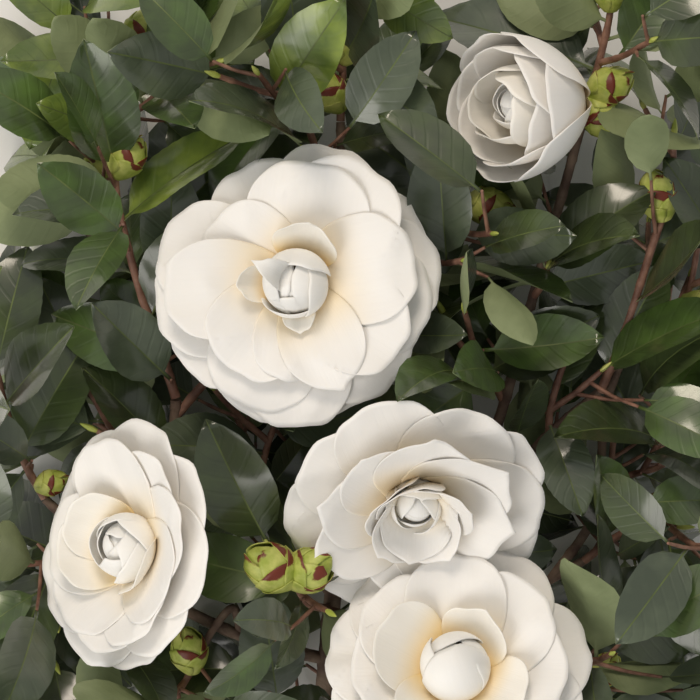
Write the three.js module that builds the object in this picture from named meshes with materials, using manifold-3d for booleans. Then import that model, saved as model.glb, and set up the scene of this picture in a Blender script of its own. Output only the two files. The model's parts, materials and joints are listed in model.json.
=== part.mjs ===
// A flowering branch cut from a white camellia, lying on its back with its open blooms facing up.
// Millimetres. In the branch's own frame x runs across it, y from the cut end to the tips, and z up.
// At the end it is set down on z = 0 with the middle of its bounding box over the origin.
import * as THREE from 'three';
import { mergeVertices } from 'three/addons/utils/BufferGeometryUtils.js';
import Module from 'manifold-3d';

const wasm = await Module();
wasm.setup();

const degrees = THREE.MathUtils.degToRad;
const vector = (p) => new THREE.Vector3(...p);

// Clearances
const JOINT_GAP = 0.3;
const LEAF_ROOM = 1.5;
const LEAF_SIDE_ROOM = 0.9;
const TWIG_ROOM = 0.9;
const FLOOR_ROOM = 0.8;

// The space that the whole branch keeps to
const REACH = new THREE.Box3(vector([-166, -176, 0]), vector([166, 166, 126]));
const CUT_END_Y = -196;

// Leaves: stalk and half width are shares of a leaf's length. Its outline swells and narrows by two powers.
const LEAF = {
  stalk: 0.1,
  halfWidth: 0.245,
  outline: { scale: 2.6, swells: 0.6, narrows: 0.8 },
  halfThickness: 0.7,
  stalkHalfWidth: 0.95,
  rootDepth: 1.2,
};
// The sections that a leaf is drawn with, and those where it is tried for room, as shares of its length
const LEAF_SECTIONS = { shown: [0.36, 0.72], filling: [0.45] };
const ROOM_SECTIONS = { whole: [0.03, 0.14, 0.4, 0.74], blade: [0.16, 0.4, 0.74] };
// How a leaf bends back along its length, folds up along its midrib and twists, in radians
const LEAF_FORMS = [
  { bend: 0.35, fold: 0.30, twist: 0.15 },
  { bend: 0.75, fold: 0.22, twist: -0.25 },
  { bend: 0.15, fold: 0.42, twist: 0.05 },
  { bend: 1.05, fold: 0.28, twist: 0.30 },
  { bend: 0.50, fold: 0.16, twist: -0.40 },
  { bend: -0.30, fold: 0.34, twist: 0.20 },
];
const SKY = vector([0, 0.5, 0.87]).normalize();
const TRIES = 10;
const SHOWN_LIFTS = [0, 8, -8, 16, -16, 26, -26, 38, -38];
const PRESS_STEP = degrees(4);
const PRESS_STEPS = 16;

// The rule of the filling leaves: how they follow each other round and along a shoot. Angles are radians.
// Each spread is the whole range that a seeded number moves a value over.
const LEAF_RULE = {
  turn: degrees(144),
  turnSpread: 1.6,
  away: 0.95,
  endAway: 0.25,
  awaySpread: 0.5,
  rollSpread: 1.9,
  undersideShare: 0.2,
  shortest: 0.8,
  lengthSpread: 0.38,
  stepIn: 0.3,
  leastOnShoot: 2,
  onTwig: { from: 0.3, step: 14 },
  onStem: { from: 0.15, step: 19 },
};

// The rule of the side twigs. Away is in degrees. Shortest, its spread and bow are shares of a twig's length.
const TWIG_RULE = {
  from: 0.08,
  spread: 0.86,
  away: 42,
  awaySpread: 34,
  shortest: 0.7,
  lengthSpread: 0.5,
  bow: 0.16,
  lowest: 6,
};
const TWIG = { sides: 3, steps: 2, startRadius: 1.5, endRadius: 1.15 };
const STEM = { sides: 5, step: 18, fewestSteps: 3 };

// Seeded numbers from 0 to 1, the same on every run.
function seeded(seed) {
  let state = seed >>> 0;
  return () => {
    state = (state + 0x6d2b79f5) >>> 0;
    let t = state;
    t = Math.imul(t ^ (t >>> 15), t | 1);
    t ^= t + Math.imul(t ^ (t >>> 7), t | 61);
    return ((t ^ (t >>> 14)) >>> 0) / 4294967296;
  };
}

// Closed solids

// The solid inside a closed list of triangles.
function solidOf(points, triangles) {
  const geometry = new THREE.BufferGeometry().setFromPoints(points);
  geometry.setIndex(triangles);
  return new wasm.Manifold(
    new wasm.Mesh({
      numProp: 3,
      vertProperties: new Float32Array(geometry.getAttribute('position').array),
      triVerts: new Uint32Array(triangles),
    }),
  );
}

// A skin over rings of points that turn right-handed about the way they follow each other.
// The first and last rings may each be one point. Flat caps close the others.
function skin(rings) {
  const points = rings.flat();
  const triangles = [];
  let start = 0;
  rings.slice(0, -1).forEach((ring, index) => {
    const next = rings[index + 1];
    const after = start + ring.length;
    const sides = Math.max(ring.length, next.length);
    for (let side = 0; side < sides; side++) {
      const a = start + (side % ring.length);
      const b = start + ((side + 1) % ring.length);
      const c = after + (side % next.length);
      const d = after + ((side + 1) % next.length);
      if (a !== b) triangles.push(a, b, c);
      if (c !== d) triangles.push(b, d, c);
    }
    start = after;
  });
  for (let side = 1; side + 1 < rings[0].length; side++) triangles.push(0, side + 1, side);
  for (let side = 1; side + 1 < rings.at(-1).length; side++) {
    triangles.push(start, start + side, start + side + 1);
  }
  return solidOf(points, triangles);
}

// The largest piece of a solid, with any sealed hollow filled.
function wholePiece(solid) {
  const pieces = solid.decompose();
  return pieces.reduce((best, piece) => (piece.volume() > best.volume() ? piece : best));
}

// A three.js mesh of one solid.
function meshOf(name, solid, material) {
  const { vertProperties, triVerts, numProp } = wholePiece(solid).getMesh();
  const position = new Float32Array((vertProperties.length / numProp) * 3);
  for (let i = 0; i * 3 < position.length; i++) {
    position.set(vertProperties.subarray(i * numProp, i * numProp + 3), i * 3);
  }
  let geometry = new THREE.BufferGeometry();
  geometry.setAttribute('position', new THREE.BufferAttribute(position, 3));
  geometry.setIndex(new THREE.BufferAttribute(new Uint32Array(triVerts), 1));
  geometry = mergeVertices(geometry, 1e-4);
  geometry.computeVertexNormals();
  const mesh = new THREE.Mesh(geometry, material);
  mesh.name = name;
  return mesh;
}

// Routes and limbs

const curveOf = (route) => new THREE.CatmullRomCurve3(route.map(vector), false, 'catmullrom', 0.5);

// Two directions square to a tangent, so that side, up and tangent are right-handed.
function acrossOf(tangent) {
  const reference = Math.abs(tangent.z) > 0.9 ? vector([0, 1, 0]) : vector([0, 0, 1]);
  const side = reference.cross(tangent).normalize();
  return { side, up: tangent.clone().cross(side) };
}

// A round tapering limb along a curve. Grow makes it fatter and longer all over.
function taperedLimb(curve, startRadius, endRadius, sides, steps, grow = 0) {
  const rings = [];
  for (let step = 0; step <= steps; step++) {
    const t = step / steps;
    const tangent = curve.getTangent(t);
    const { side, up } = acrossOf(tangent);
    const radius = startRadius + (endRadius - startRadius) * t + grow;
    const overrun = step === 0 ? -grow : step === steps ? grow : 0;
    const centre = curve.getPoint(t).addScaledVector(tangent, overrun);
    const ring = [];
    for (let i = 0; i < sides; i++) {
      const angle = (2 * Math.PI * i) / sides;
      ring.push(
        centre
          .clone()
          .addScaledVector(side, radius * Math.cos(angle))
          .addScaledVector(up, radius * Math.sin(angle)),
      );
    }
    rings.push(ring);
  }
  return skin(rings);
}

// Boughs and stalks: each starts inside its parent and is cut back to stand clear of it.
const LIMBS = [
  {
    name: 'main_stem',
    radii: [5.0, 3.4],
    route: [[-14, -206, 6], [-13, -173, 11], [-11, -148, 20], [-8, -112, 33], [-5, -83, 40]],
  },
  {
    name: 'left_bough',
    parent: 'main_stem',
    radii: [3.0, 2.3],
    route: [[-7, -105, 35], [-28, -77, 42], [-53, -54, 49], [-72, -38, 55], [-73, -21, 60]],
  },
  {
    name: 'top_bough',
    parent: 'main_stem',
    radii: [2.8, 1.9],
    route: [[-5, -84, 40], [-2, -38, 42], [-2, 17, 44], [-3, 63, 50], [-4, 96, 55]],
  },
  {
    name: 'right_bough',
    parent: 'main_stem',
    radii: [3.0, 2.2],
    route: [[-7, -95, 37], [21, -83, 42], [61, -59, 50], [85, -35, 53], [105, -18, 56]],
  },
  {
    name: 'upper_right_bough',
    parent: 'right_bough',
    radii: [2.4, 1.9],
    route: [[51, -65, 48], [65, -23, 51], [77, 22, 55], [88, 62, 61], [98, 99, 66]],
  },
  {
    name: 'lower_left_bough',
    parent: 'main_stem',
    radii: [2.8, 1.9],
    route: [[-10, -134, 25], [-41, -125, 34], [-77, -107, 42], [-108, -83, 47], [-129, -63, 51]],
  },
  {
    name: 'lower_right_bough',
    parent: 'main_stem',
    radii: [2.6, 1.9],
    route: [[-9, -118, 31], [30, -120, 31], [69, -107, 36], [100, -90, 40]],
  },
  {
    name: 'right_edge_bough',
    parent: 'lower_right_bough',
    radii: [2.1, 1.7],
    route: [[86, -98, 38], [102, -74, 44], [106, -51, 47], [109, -23, 46], [117, 0, 48]],
  },
  {
    name: 'upper_left_bough',
    parent: 'left_bough',
    radii: [2.1, 1.6],
    route: [[-61, -47, 51], [-100, -28, 46], [-122, 2, 46], [-114, 36, 48], [-104, 65, 52]],
  },
  {
    name: 'bottom_left_bough',
    parent: 'lower_left_bough',
    radii: [1.9, 1.5],
    route: [[-47, -122, 35], [-50, -110, 42], [-59, -120, 46], [-66, -134, 46]],
  },
  {
    name: 'left_bloom_stalk',
    parent: 'lower_left_bough',
    radii: [1.9, 1.8],
    route: [[-84, -102, 43], [-82, -96, 54], [-76, -86, 66], [-75, -82.5, 73.5]],
  },
  {
    name: 'large_bloom_stalk',
    parent: 'left_bough',
    radii: [1.9, 1.8],
    route: [[-73, -28, 58], [-60, -13, 61], [-38, 6, 62], [-22, 22, 68], [-20.6, 26, 76]],
  },
  {
    name: 'middle_bloom_stalk',
    parent: 'right_bough',
    radii: [1.9, 1.8],
    route: [[26, -80, 43], [24.5, -64, 49], [25.5, -53, 59], [26.1, -51.2, 67.4], [26.2, -51.6, 69.4]],
  },
  {
    name: 'lower_bloom_stalk',
    parent: 'main_stem',
    radii: [2.0, 1.8],
    route: [[-11, -150, 19], [12, -152, 31], [34, -150, 49], [43, -141.5, 63], [44.5, -137.2, 72]],
  },
  {
    name: 'upper_bloom_stalk',
    parent: 'upper_right_bough',
    radii: [1.8, 1.8],
    route: [[97, 95, 65], [98, 99, 70], [96.4, 102.8, 74], [94.2, 103.6, 75.8]],
  },
];
const LIMB = { thickSides: 8, thinSides: 6, thickFrom: 4, step: 19, fewestSteps: 3 };

// Blooms. Each row of petals is a lobed cup, one lobe to a petal, inside the row before it.
// Open is a petal's slope from the bloom's axis at its base and at its tip, in degrees. Reach is how far out
// from the axis a petal starts, rise is how far up, and cup is the half angle of its cross-section, in degrees.
const BLOOMS = [
  {
    name: 'large_bloom',
    stalk: 'large_bloom_stalk',
    seed: 3,
    base: [-20.6, 25.5, 74],
    axis: [-0.06, 0.05, 1],
    rows: [
      { count: 9, length: 58, width: 48, open: [60, 96], cup: 17, turn: 22, reach: 3.2, rise: 7 },
      { count: 8, length: 50, width: 44, open: [48, 85], cup: 21, turn: 0, reach: 3.4, rise: 9 },
      { count: 6, length: 38, width: 37, open: [34, 74], cup: 26, turn: 12, reach: 4, rise: 11 },
      { count: 5, length: 30, width: 30, open: [14, 34], cup: 44, turn: 40, reach: 7, rise: 12 },
      { count: 4, length: 30, width: 21, open: [28, -60], cup: 55, turn: 10, reach: 6, rise: 12 },
    ],
  },
  {
    name: 'upper_bloom',
    stalk: 'upper_bloom_stalk',
    seed: 5,
    base: [95, 103.5, 75],
    axis: [-0.8, -0.13, 0.58],
    rows: [
      { count: 6, length: 52, width: 46, open: [58, 8], cup: 28, turn: 0, reach: 4, rise: 6 },
      { count: 5, length: 49, width: 42, open: [40, 6], cup: 32, turn: 30, reach: 4, rise: 8 },
      { count: 5, length: 45, width: 30, open: [24, -6], cup: 38, turn: 10, reach: 4.5, rise: 9 },
      { count: 4, length: 40, width: 20, open: [12, -36], cup: 50, turn: 25, reach: 4, rise: 10 },
    ],
  },
  {
    name: 'left_bloom',
    stalk: 'left_bloom_stalk',
    seed: 8,
    base: [-75.2, -82.3, 72],
    axis: [-0.66, 0.1, 0.74],
    rows: [
      { count: 8, length: 51, width: 45, open: [54, 92], cup: 18, turn: 8, reach: 3.2, rise: 7 },
      { count: 7, length: 47, width: 42, open: [44, 76], cup: 24, turn: 30, reach: 3.6, rise: 9 },
      { count: 5, length: 33, width: 32, open: [26, 20], cup: 42, turn: 0, reach: 7, rise: 11 },
      { count: 4, length: 32, width: 22, open: [30, -64], cup: 55, turn: 20, reach: 6, rise: 11 },
    ],
  },
  {
    name: 'middle_bloom',
    stalk: 'middle_bloom_stalk',
    seed: 12,
    base: [26.2, -51.5, 68],
    axis: [0.04, -0.55, 0.83],
    rows: [
      { count: 8, length: 56, width: 48, open: [56, 84], cup: 16, turn: 12, reach: 3.2, rise: 6 },
      { count: 7, length: 48, width: 40, open: [41, 62], cup: 24, turn: 34, reach: 3.6, rise: 8 },
      { count: 5, length: 34, width: 26, open: [20, 36], cup: 34, turn: 6, reach: 5, rise: 10 },
      { count: 4, length: 26, width: 17, open: [16, -46], cup: 48, turn: 30, reach: 4, rise: 10 },
    ],
  },
  {
    name: 'lower_bloom',
    stalk: 'lower_bloom_stalk',
    seed: 15,
    base: [44.4, -137, 70],
    axis: [-0.07, 0.35, 0.93],
    rows: [
      { count: 8, length: 54, width: 47, open: [58, 92], cup: 18, turn: 0, reach: 3.2, rise: 7 },
      { count: 7, length: 48, width: 43, open: [46, 76], cup: 24, turn: 26, reach: 3.6, rise: 9 },
      { count: 5, length: 38, width: 36, open: [33, 54], cup: 32, turn: 4, reach: 7, rise: 11 },
      { count: 5, length: 36, width: 27, open: [34, -58], cup: 50, turn: 40, reach: 9, rise: 11 },
    ],
  },
];
// Shares of a petal's length: its belly, the foot of its row, where a heart closes, and how far its tip is
// rounded off by the given power towards its sides. Its shoulders are a share of the way to the next petal.
const PETAL = {
  halfThickness: 0.6,
  belly: 0.52,
  foot: 0.16,
  heartCloses: 0.86,
  rounding: 0.24,
  roundingPower: 2.6,
  shoulder: 0.45,
  leastRadius: 0.2,
};
const PETAL_SPREAD = { azimuth: 0.34, tilt: 0.07, size: 0.1 };
const EVEN_PETAL = { tilt: 0, size: 1 };
// Rings of a calyx: [height, radius]
const CALYX_RINGS = [[-1.5, 2.6], [1.5, 6.2], [6.5, 9]];
const CALYX_SIDES = 8;
const FOOT_SIDES = 10;

// The place of each petal in a row: its azimuth, its tilt and how large it grew.
function petalsOf(row, rnd) {
  return Array.from({ length: row.count }, (_, i) => ({
    azimuth: degrees(row.turn) + ((i + PETAL_SPREAD.azimuth * (rnd() - 0.5)) * 2 * Math.PI) / row.count,
    tilt: PETAL_SPREAD.tilt * (rnd() - 0.5),
    size: 1 + PETAL_SPREAD.size * (rnd() - 0.5),
  }));
}

// A point of a row's surface in the bloom's frame, a share s along a petal. Aside runs from 0 at its middle
// to 1 where it meets the next, and side is 1 on the inner face, -1 on the back and 0 on the rim.
function rowPoint(row, petal, azimuth, s, aside, side) {
  const start = degrees(row.open[0]) + petal.tilt;
  const turn = degrees(row.open[1] - row.open[0]);
  const length = row.length * petal.size;
  const outAt = (angle) => row.reach + (length * (Math.cos(start) - Math.cos(angle))) / turn;
  const halfGap = (aside * Math.PI * Math.max(0, outAt(start + turn * s))) / row.count;
  const sideways = Math.min(1, (2 * halfGap) / row.width);
  const angle = start + turn * s * (1 - PETAL.rounding * s * sideways ** PETAL.roundingPower);
  const out = outAt(angle);
  const along = row.rise + (length * (Math.sin(angle) - Math.sin(start))) / turn;
  const across = (aside * Math.PI * out) / row.count;
  const raised = (across * across * degrees(row.cup)) / row.width + side * PETAL.halfThickness;
  const radius = Math.max(PETAL.leastRadius, out - raised * Math.cos(angle));
  return {
    angle: THREE.MathUtils.euclideanModulo(azimuth, 2 * Math.PI),
    point: vector([radius * Math.cos(azimuth), radius * Math.sin(azimuth), along + raised * Math.sin(angle)]),
  };
}

// A ring round a row: three points to a petal, the first where it meets the petal before it.
function rowRing(row, petals, s, side) {
  const ring = petals.flatMap((petal, i) => {
    const before = petals[(i + row.count - 1) % row.count];
    const gap = THREE.MathUtils.euclideanModulo(petal.azimuth - before.azimuth, 2 * Math.PI);
    const shared = { tilt: (petal.tilt + before.tilt) / 2, size: (petal.size + before.size) / 2 };
    const shoulder = (PETAL.shoulder * Math.PI) / row.count;
    return [
      rowPoint(row, shared, petal.azimuth - gap / 2, s, 1, side),
      rowPoint(row, petal, petal.azimuth - shoulder, s, PETAL.shoulder, side),
      rowPoint(row, petal, petal.azimuth + shoulder, s, PETAL.shoulder, side),
    ];
  });
  return ring.sort((a, b) => a.angle - b.angle);
}

function roundRing(radius, height, sides) {
  return Array.from({ length: sides }, (_, i) => {
    const angle = (2 * Math.PI * i) / sides;
    return { angle, point: vector([radius * Math.cos(angle), radius * Math.sin(angle), height]) };
  });
}

// The valley between one row's inner face and the next row's back.
function footRing(outer, inner) {
  const [a, b] = [outer, inner].map((row) => rowPoint(row, EVEN_PETAL, 0, PETAL.foot, 0, 0).point);
  return roundRing((a.x + b.x) / 2, (a.z + b.z) / 2, FOOT_SIDES);
}

// A closed skin over rings round an axis with any number of points each, closed by a flat cap and by a tip.
function lobedSkin(rings, tip) {
  const points = rings.flatMap((ring) => ring.map(({ point }) => point));
  const triangles = [];
  let start = 0;
  rings.slice(0, -1).forEach((ring, index) => {
    const next = rings[index + 1];
    const after = start + ring.length;
    const angleAt = (list, i) => (i < list.length ? list[i].angle : list[0].angle + 2 * Math.PI);
    let [i, j] = [0, 0];
    while (i < ring.length || j < next.length) {
      const lowerFirst = i < ring.length && angleAt(ring, i + 1) <= angleAt(next, j + 1);
      const turnLower = j === next.length || lowerFirst;
      const lower = start + (i % ring.length);
      const upper = after + (j % next.length);
      if (turnLower) triangles.push(lower, start + ((i + 1) % ring.length), upper);
      else triangles.push(lower, after + ((j + 1) % next.length), upper);
      if (turnLower) i += 1;
      else j += 1;
    }
    start = after;
  });
  const last = rings.at(-1).length;
  for (let i = 0; i < last; i++) triangles.push(start + i, start + ((i + 1) % last), points.length);
  for (let i = 1; i + 1 < rings[0].length; i++) triangles.push(0, i + 1, i);
  return { points: [...points, tip], triangles };
}

// The matrix from a bloom's frame, z along its axis and x to its topmost side, to the branch's frame.
function bloomMatrix(bloom) {
  const axis = vector(bloom.axis).normalize();
  const top = vector([0, 1, 0]).addScaledVector(axis, -axis.y).normalize();
  return new THREE.Matrix4().makeBasis(top, axis.clone().cross(top), axis).setPosition(...bloom.base);
}

// A bloom: up its calyx and the backs of its outer petals, then in over the rim of each row to its heart.
function bloomSolid(bloom) {
  const rnd = seeded(bloom.seed);
  const rings = CALYX_RINGS.map(([height, radius]) => roundRing(radius, height, CALYX_SIDES));
  let tip;
  bloom.rows.forEach((row, index) => {
    const petals = petalsOf(row, rnd);
    const inner = bloom.rows[index + 1];
    rings.push(rowRing(row, petals, PETAL.belly, -1));
    if (inner) {
      rings.push(rowRing(row, petals, 1, 0), rowRing(row, petals, PETAL.belly, 1), footRing(row, inner));
    } else {
      rings.push(rowRing(row, petals, PETAL.heartCloses, 0));
      tip = vector([0, 0, rowPoint(row, EVEN_PETAL, 0, 1, 0, 0).point.z]);
    }
  });
  const { points, triangles } = lobedSkin(rings, tip);
  const toBloom = bloomMatrix(bloom);
  return solidOf(points.map((p) => p.applyMatrix4(toBloom)), triangles);
}

// Leaves

// The centre, directions and half width of a leaf's cross-section at a share s of its length, in the leaf's
// own frame: x out along it, y across it and z up from its glossy side.
function leafSection(form, length, s) {
  const angle = form.bend * s;
  const centre = vector([Math.sin(angle), 0, Math.cos(angle) - 1]).multiplyScalar(length / form.bend);
  const normal = vector([Math.sin(angle), 0, Math.cos(angle)]);
  const across = vector([0, 1, 0]);
  const turn = form.twist * s;
  const turned = across.clone().multiplyScalar(Math.cos(turn)).addScaledVector(normal, Math.sin(turn));
  const square = normal.clone().multiplyScalar(Math.cos(turn)).addScaledVector(across, -Math.sin(turn));
  const u = Math.max(0, (s - LEAF.stalk) / (1 - LEAF.stalk));
  const { scale, swells, narrows } = LEAF.outline;
  const halfWidth = LEAF.stalkHalfWidth + length * LEAF.halfWidth * scale * u ** swells * (1 - u) ** narrows;
  return { centre, across: turned, normal: square, halfWidth };
}

// One ring of a leaf: left edge, top of the midrib, right edge, underside of the midrib.
function leafRing(form, length, s, extraWidth, halfThickness) {
  const { centre, across, normal, halfWidth } = leafSection(form, length, s);
  const wide = halfWidth + extraWidth;
  const lifted = wide * Math.sin(form.fold);
  const spread = wide * Math.cos(form.fold);
  return [
    centre.clone().addScaledVector(across, spread).addScaledVector(normal, lifted),
    centre.clone().addScaledVector(normal, halfThickness),
    centre.clone().addScaledVector(across, -spread).addScaledVector(normal, lifted),
    centre.clone().addScaledVector(normal, -halfThickness),
  ];
}

// A leaf in its own frame: a point sunk in its shoot, rings at the given sections, and its tip.
function leafRings(leaf, sections) {
  const form = LEAF_FORMS[leaf.form];
  return [
    [vector([-LEAF.rootDepth, 0, 0])],
    ...sections.map((s) => leafRing(form, leaf.length, s, 0, LEAF.halfThickness)),
    [leafSection(form, leaf.length, 1).centre],
  ];
}

// The space that a leaf needs round it, from its first section to its tip.
function roomRings(leaf, sections) {
  const form = LEAF_FORMS[leaf.form];
  const thickness = LEAF.halfThickness + LEAF_ROOM;
  return [
    ...sections.map((s) => leafRing(form, leaf.length, s, LEAF_SIDE_ROOM, thickness)),
    [leafSection(form, leaf.length, 1).centre.addScaledVector(vector([1, 0, 0]), LEAF_ROOM)],
  ];
}

// The matrix that places a leaf at its base, with its glossy side turned to the sky and then rolled.
function leafMatrix(leaf) {
  const axis = leaf.axis;
  const normal = SKY.clone().addScaledVector(axis, -SKY.dot(axis)).normalize();
  const quarter = axis.clone().cross(normal);
  normal.multiplyScalar(Math.cos(leaf.roll)).addScaledVector(quarter, Math.sin(leaf.roll));
  return new THREE.Matrix4().makeBasis(axis, normal.clone().cross(axis), normal).setPosition(leaf.base);
}

function inPlace(leaf, rings) {
  const matrix = leafMatrix(leaf);
  return rings.map((ring) => ring.map((p) => p.applyMatrix4(matrix)));
}

// A leaf that would reach into the ground is bent up until it lies on it.
function pressed(leaf) {
  for (let step = 0; step < PRESS_STEPS; step++) {
    const points = inPlace(leaf, leafRings(leaf, LEAF_SECTIONS.shown)).flat();
    const lowest = Math.min(...points.map((p) => p.z));
    if (lowest >= FLOOR_ROOM) return leaf;
    const flat = Math.hypot(leaf.axis.x, leaf.axis.y);
    const lift = Math.atan2(leaf.axis.z, flat) + PRESS_STEP;
    const turn = Math.atan2(leaf.axis.y, leaf.axis.x);
    leaf.axis.set(Math.cos(lift) * Math.cos(turn), Math.cos(lift) * Math.sin(turn), Math.sin(lift));
  }
  return leaf;
}

// Buds: [distance along, radius], in shares of a bud's length
const BUD_RINGS = [[-0.1, 0.13], [0.3, 0.31], [0.72, 0.23]];
const BUD_SIDES = 6;

function budSolid(base, axis, length) {
  const { side, up } = acrossOf(axis);
  const rings = BUD_RINGS.map(([along, radius]) => {
    const ring = [];
    for (let i = 0; i < BUD_SIDES; i++) {
      const angle = (2 * Math.PI * i) / BUD_SIDES;
      ring.push(
        base
          .clone()
          .addScaledVector(axis, along * length)
          .addScaledVector(side, radius * length * Math.cos(angle))
          .addScaledVector(up, radius * length * Math.sin(angle)),
      );
    }
    return ring;
  });
  rings.push([base.clone().addScaledVector(axis, length)]);
  return skin(rings);
}

// Masses of foliage. Each is a leafy shoot on one stem that starts at its parent limb.
// A leaf that shows is [share along the stem, heading, lift, roll, length, form], with angles in degrees:
// heading turns from +x towards +y, and lift is up from the flat. A bud is [share along, heading, lift,
// length]. Twigs is how many side twigs the rule tries to grow.
const SPRAYS = [
  {
    name: 'left_shoot',
    parent: 'left_bough',
    seed: 101,
    radii: [2.1, 1.3],
    route: [[-73, -20, 60.5], [-79, 0, 64], [-88, 27, 69], [-95, 56, 74], [-97, 74, 78]],
    twigs: 3,
    twigLength: 34,
    leafLength: 58,
    shownLeaves: [
      [1, 99, 40, 0, 62, 2],
      [0.93, 184, 6, 140, 52, 0],
      [0.54, 157, 4, 30, 50, 1],
      [0.72, 43, 8, -28, 62, 0],
    ],
    buds: [[0.98, 52, 5, 19]],
  },
  {
    name: 'upper_left_shoot',
    parent: 'upper_left_bough',
    seed: 102,
    radii: [1.6, 1.2],
    route: [[-104, 65.5, 52.3], [-98, 92, 55], [-93, 112, 60], [-91, 128, 63]],
    twigs: 4,
    twigLength: 36,
    leafLength: 54,
    shownLeaves: [
      [0.62, 140, 18, 168, 46, 4],
      [0.5, 196, 4, 62, 46, 1],
      [0.3, 182, 0, 150, 42, 0],
    ],
    buds: [[0.95, 62, 12, 19], [0.2, 215, 8, 16]],
  },
  {
    name: 'upper_middle_shoot',
    parent: 'top_bough',
    seed: 103,
    radii: [1.7, 1.2],
    route: [[-3, 61, 49.8], [-14, 84, 54], [-20, 103, 60], [-21, 116, 64]],
    twigs: 3,
    twigLength: 36,
    leafLength: 56,
    shownLeaves: [
      [1, 96, 30, 0, 60, 2],
      [0.62, 152, 18, 22, 44, 4],
      [0.22, 170, 0, 0, 52, 1],
    ],
    buds: [],
  },
  {
    name: 'top_shoot',
    parent: 'top_bough',
    seed: 104,
    radii: [1.8, 1.3],
    route: [[-4, 96.5, 55.3], [-3, 121, 62], [-4, 148, 68]],
    twigs: 3,
    twigLength: 30,
    leafLength: 54,
    shownLeaves: [
      [0.1, 178, 6, 72, 62, 0],
      [0.34, 12, 8, -24, 44, 1],
      [0.94, 168, 4, 10, 46, 0],
    ],
    buds: [[0.12, 132, 22, 20], [0.5, 62, 10, 17]],
  },
  {
    name: 'middle_shoot',
    parent: 'top_bough',
    seed: 105,
    radii: [1.8, 1.2],
    route: [[-2, 12, 43.8], [20, 27, 48], [38, 46, 54], [50, 62, 60]],
    twigs: 3,
    twigLength: 34,
    leafLength: 58,
    shownLeaves: [
      [0.86, 132, 6, 0, 66, 1],
      [0.4, -60, 10, 20, 56, 0],
    ],
    buds: [[0.98, -6, 14, 20]],
  },
  {
    name: 'upper_right_side_shoot',
    parent: 'upper_right_bough',
    seed: 106,
    radii: [1.7, 1.4],
    route: [[77, 22, 55], [80, 27, 61], [82, 34, 67]],
    twigs: 3,
    twigLength: 26,
    leafLength: 54,
    shownLeaves: [
      [0.95, 48, 6, 0, 58, 1],
      [0.9, 104, 12, 78, 52, 0],
      [0.6, 182, 6, 60, 50, 1],
      [0.4, 14, 4, 28, 50, 0],
    ],
    buds: [],
  },
  {
    name: 'upper_right_shoot',
    parent: 'upper_right_bough',
    seed: 107,
    radii: [1.8, 1.3],
    route: [[98, 99.5, 66.3], [103, 118, 70], [107, 136, 74], [108, 148, 77]],
    twigs: 3,
    twigLength: 30,
    leafLength: 56,
    shownLeaves: [
      [0.3, 155, -8, 0, 76, 0],
      [0.12, -37, 10, 158, 64, 4],
      [0.66, 158, 18, 165, 48, 1],
    ],
    buds: [[0.12, 24, 14, 20], [0.8, 92, 16, 18], [0.1, -60, -8, 20]],
  },
  {
    name: 'right_shoot',
    parent: 'right_bough',
    seed: 108,
    radii: [2.0, 1.3],
    route: [[105.3, -17.7, 56.3], [115, 8, 62], [126, 44, 68], [133, 66, 71], [134, 88, 74]],
    twigs: 3,
    twigLength: 28,
    leafLength: 54,
    shownLeaves: [
      [0.06, 68, 10, -12, 54, 0],
      [0.94, 36, 14, 10, 44, 2],
      [0.5, 24, -8, 10, 44, 1],
      [0.28, -24, -6, 40, 46, 0],
      [0.4, 150, 14, 0, 46, 1],
    ],
    buds: [[0.62, 106, 16, 21]],
  },
  {
    name: 'right_edge_shoot',
    parent: 'right_edge_bough',
    seed: 109,
    radii: [1.6, 1.2],
    route: [[117.2, 0.3, 48.2], [132, 10, 52], [142, 24, 56], [146, 44, 60]],
    twigs: 3,
    twigLength: 28,
    leafLength: 54,
    shownLeaves: [
      [0.02, -12, 8, 100, 44, 1],
      [0.3, -70, -14, 20, 42, 0],
    ],
    buds: [[0.6, -20, 12, 16]],
  },
  {
    name: 'lower_right_shoot',
    parent: 'lower_right_bough',
    seed: 110,
    radii: [1.9, 1.3],
    route: [[100, -90, 40.3], [112, -80, 46], [124, -74, 54], [137, -74, 60]],
    twigs: 3,
    twigLength: 32,
    leafLength: 58,
    shownLeaves: [
      [0.5, -36, 16, 24, 48, 1],
      [0.42, -8, 4, 78, 44, 0],
      [0.3, 118, 26, 0, 42, 2],
      [0.8, -78, 10, 0, 64, 0],
    ],
    buds: [[0.7, 60, 14, 17]],
  },
  {
    name: 'bottom_right_shoot',
    parent: 'lower_right_bough',
    seed: 111,
    radii: [1.8, 1.2],
    route: [[69, -107, 36], [86, -122, 40], [100, -138, 46], [110, -150, 50]],
    twigs: 3,
    twigLength: 34,
    leafLength: 60,
    shownLeaves: [
      [0.3, -38, 10, 0, 66, 1],
      [0.35, 30, 12, -8, 60, 0],
      [0.9, -14, 6, 10, 50, 4],
      [0.7, -116, 0, 0, 26, 4],
    ],
    buds: [[0.75, 50, 16, 17]],
  },
  {
    name: 'bottom_shoot',
    parent: 'main_stem',
    seed: 112,
    radii: [2.0, 1.3],
    route: [[-12, -158, 16.5], [6, -163, 22], [28, -166, 30], [52, -166, 38]],
    twigs: 3,
    twigLength: 34,
    leafLength: 58,
    shownLeaves: [
      [0.3, 112, 34, 0, 58, 0],
      [0.2, 150, 20, 0, 54, 1],
    ],
    buds: [],
  },
  {
    name: 'bottom_left_shoot',
    parent: 'bottom_left_bough',
    seed: 113,
    radii: [1.5, 1.2],
    route: [[-66, -134.3, 46.2], [-74, -146, 46], [-86, -155, 48]],
    twigs: 3,
    twigLength: 34,
    leafLength: 58,
    shownLeaves: [
      [0.1, 8, 6, 0, 56, 0],
      [0.7, 200, 10, 0, 54, 1],
    ],
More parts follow.
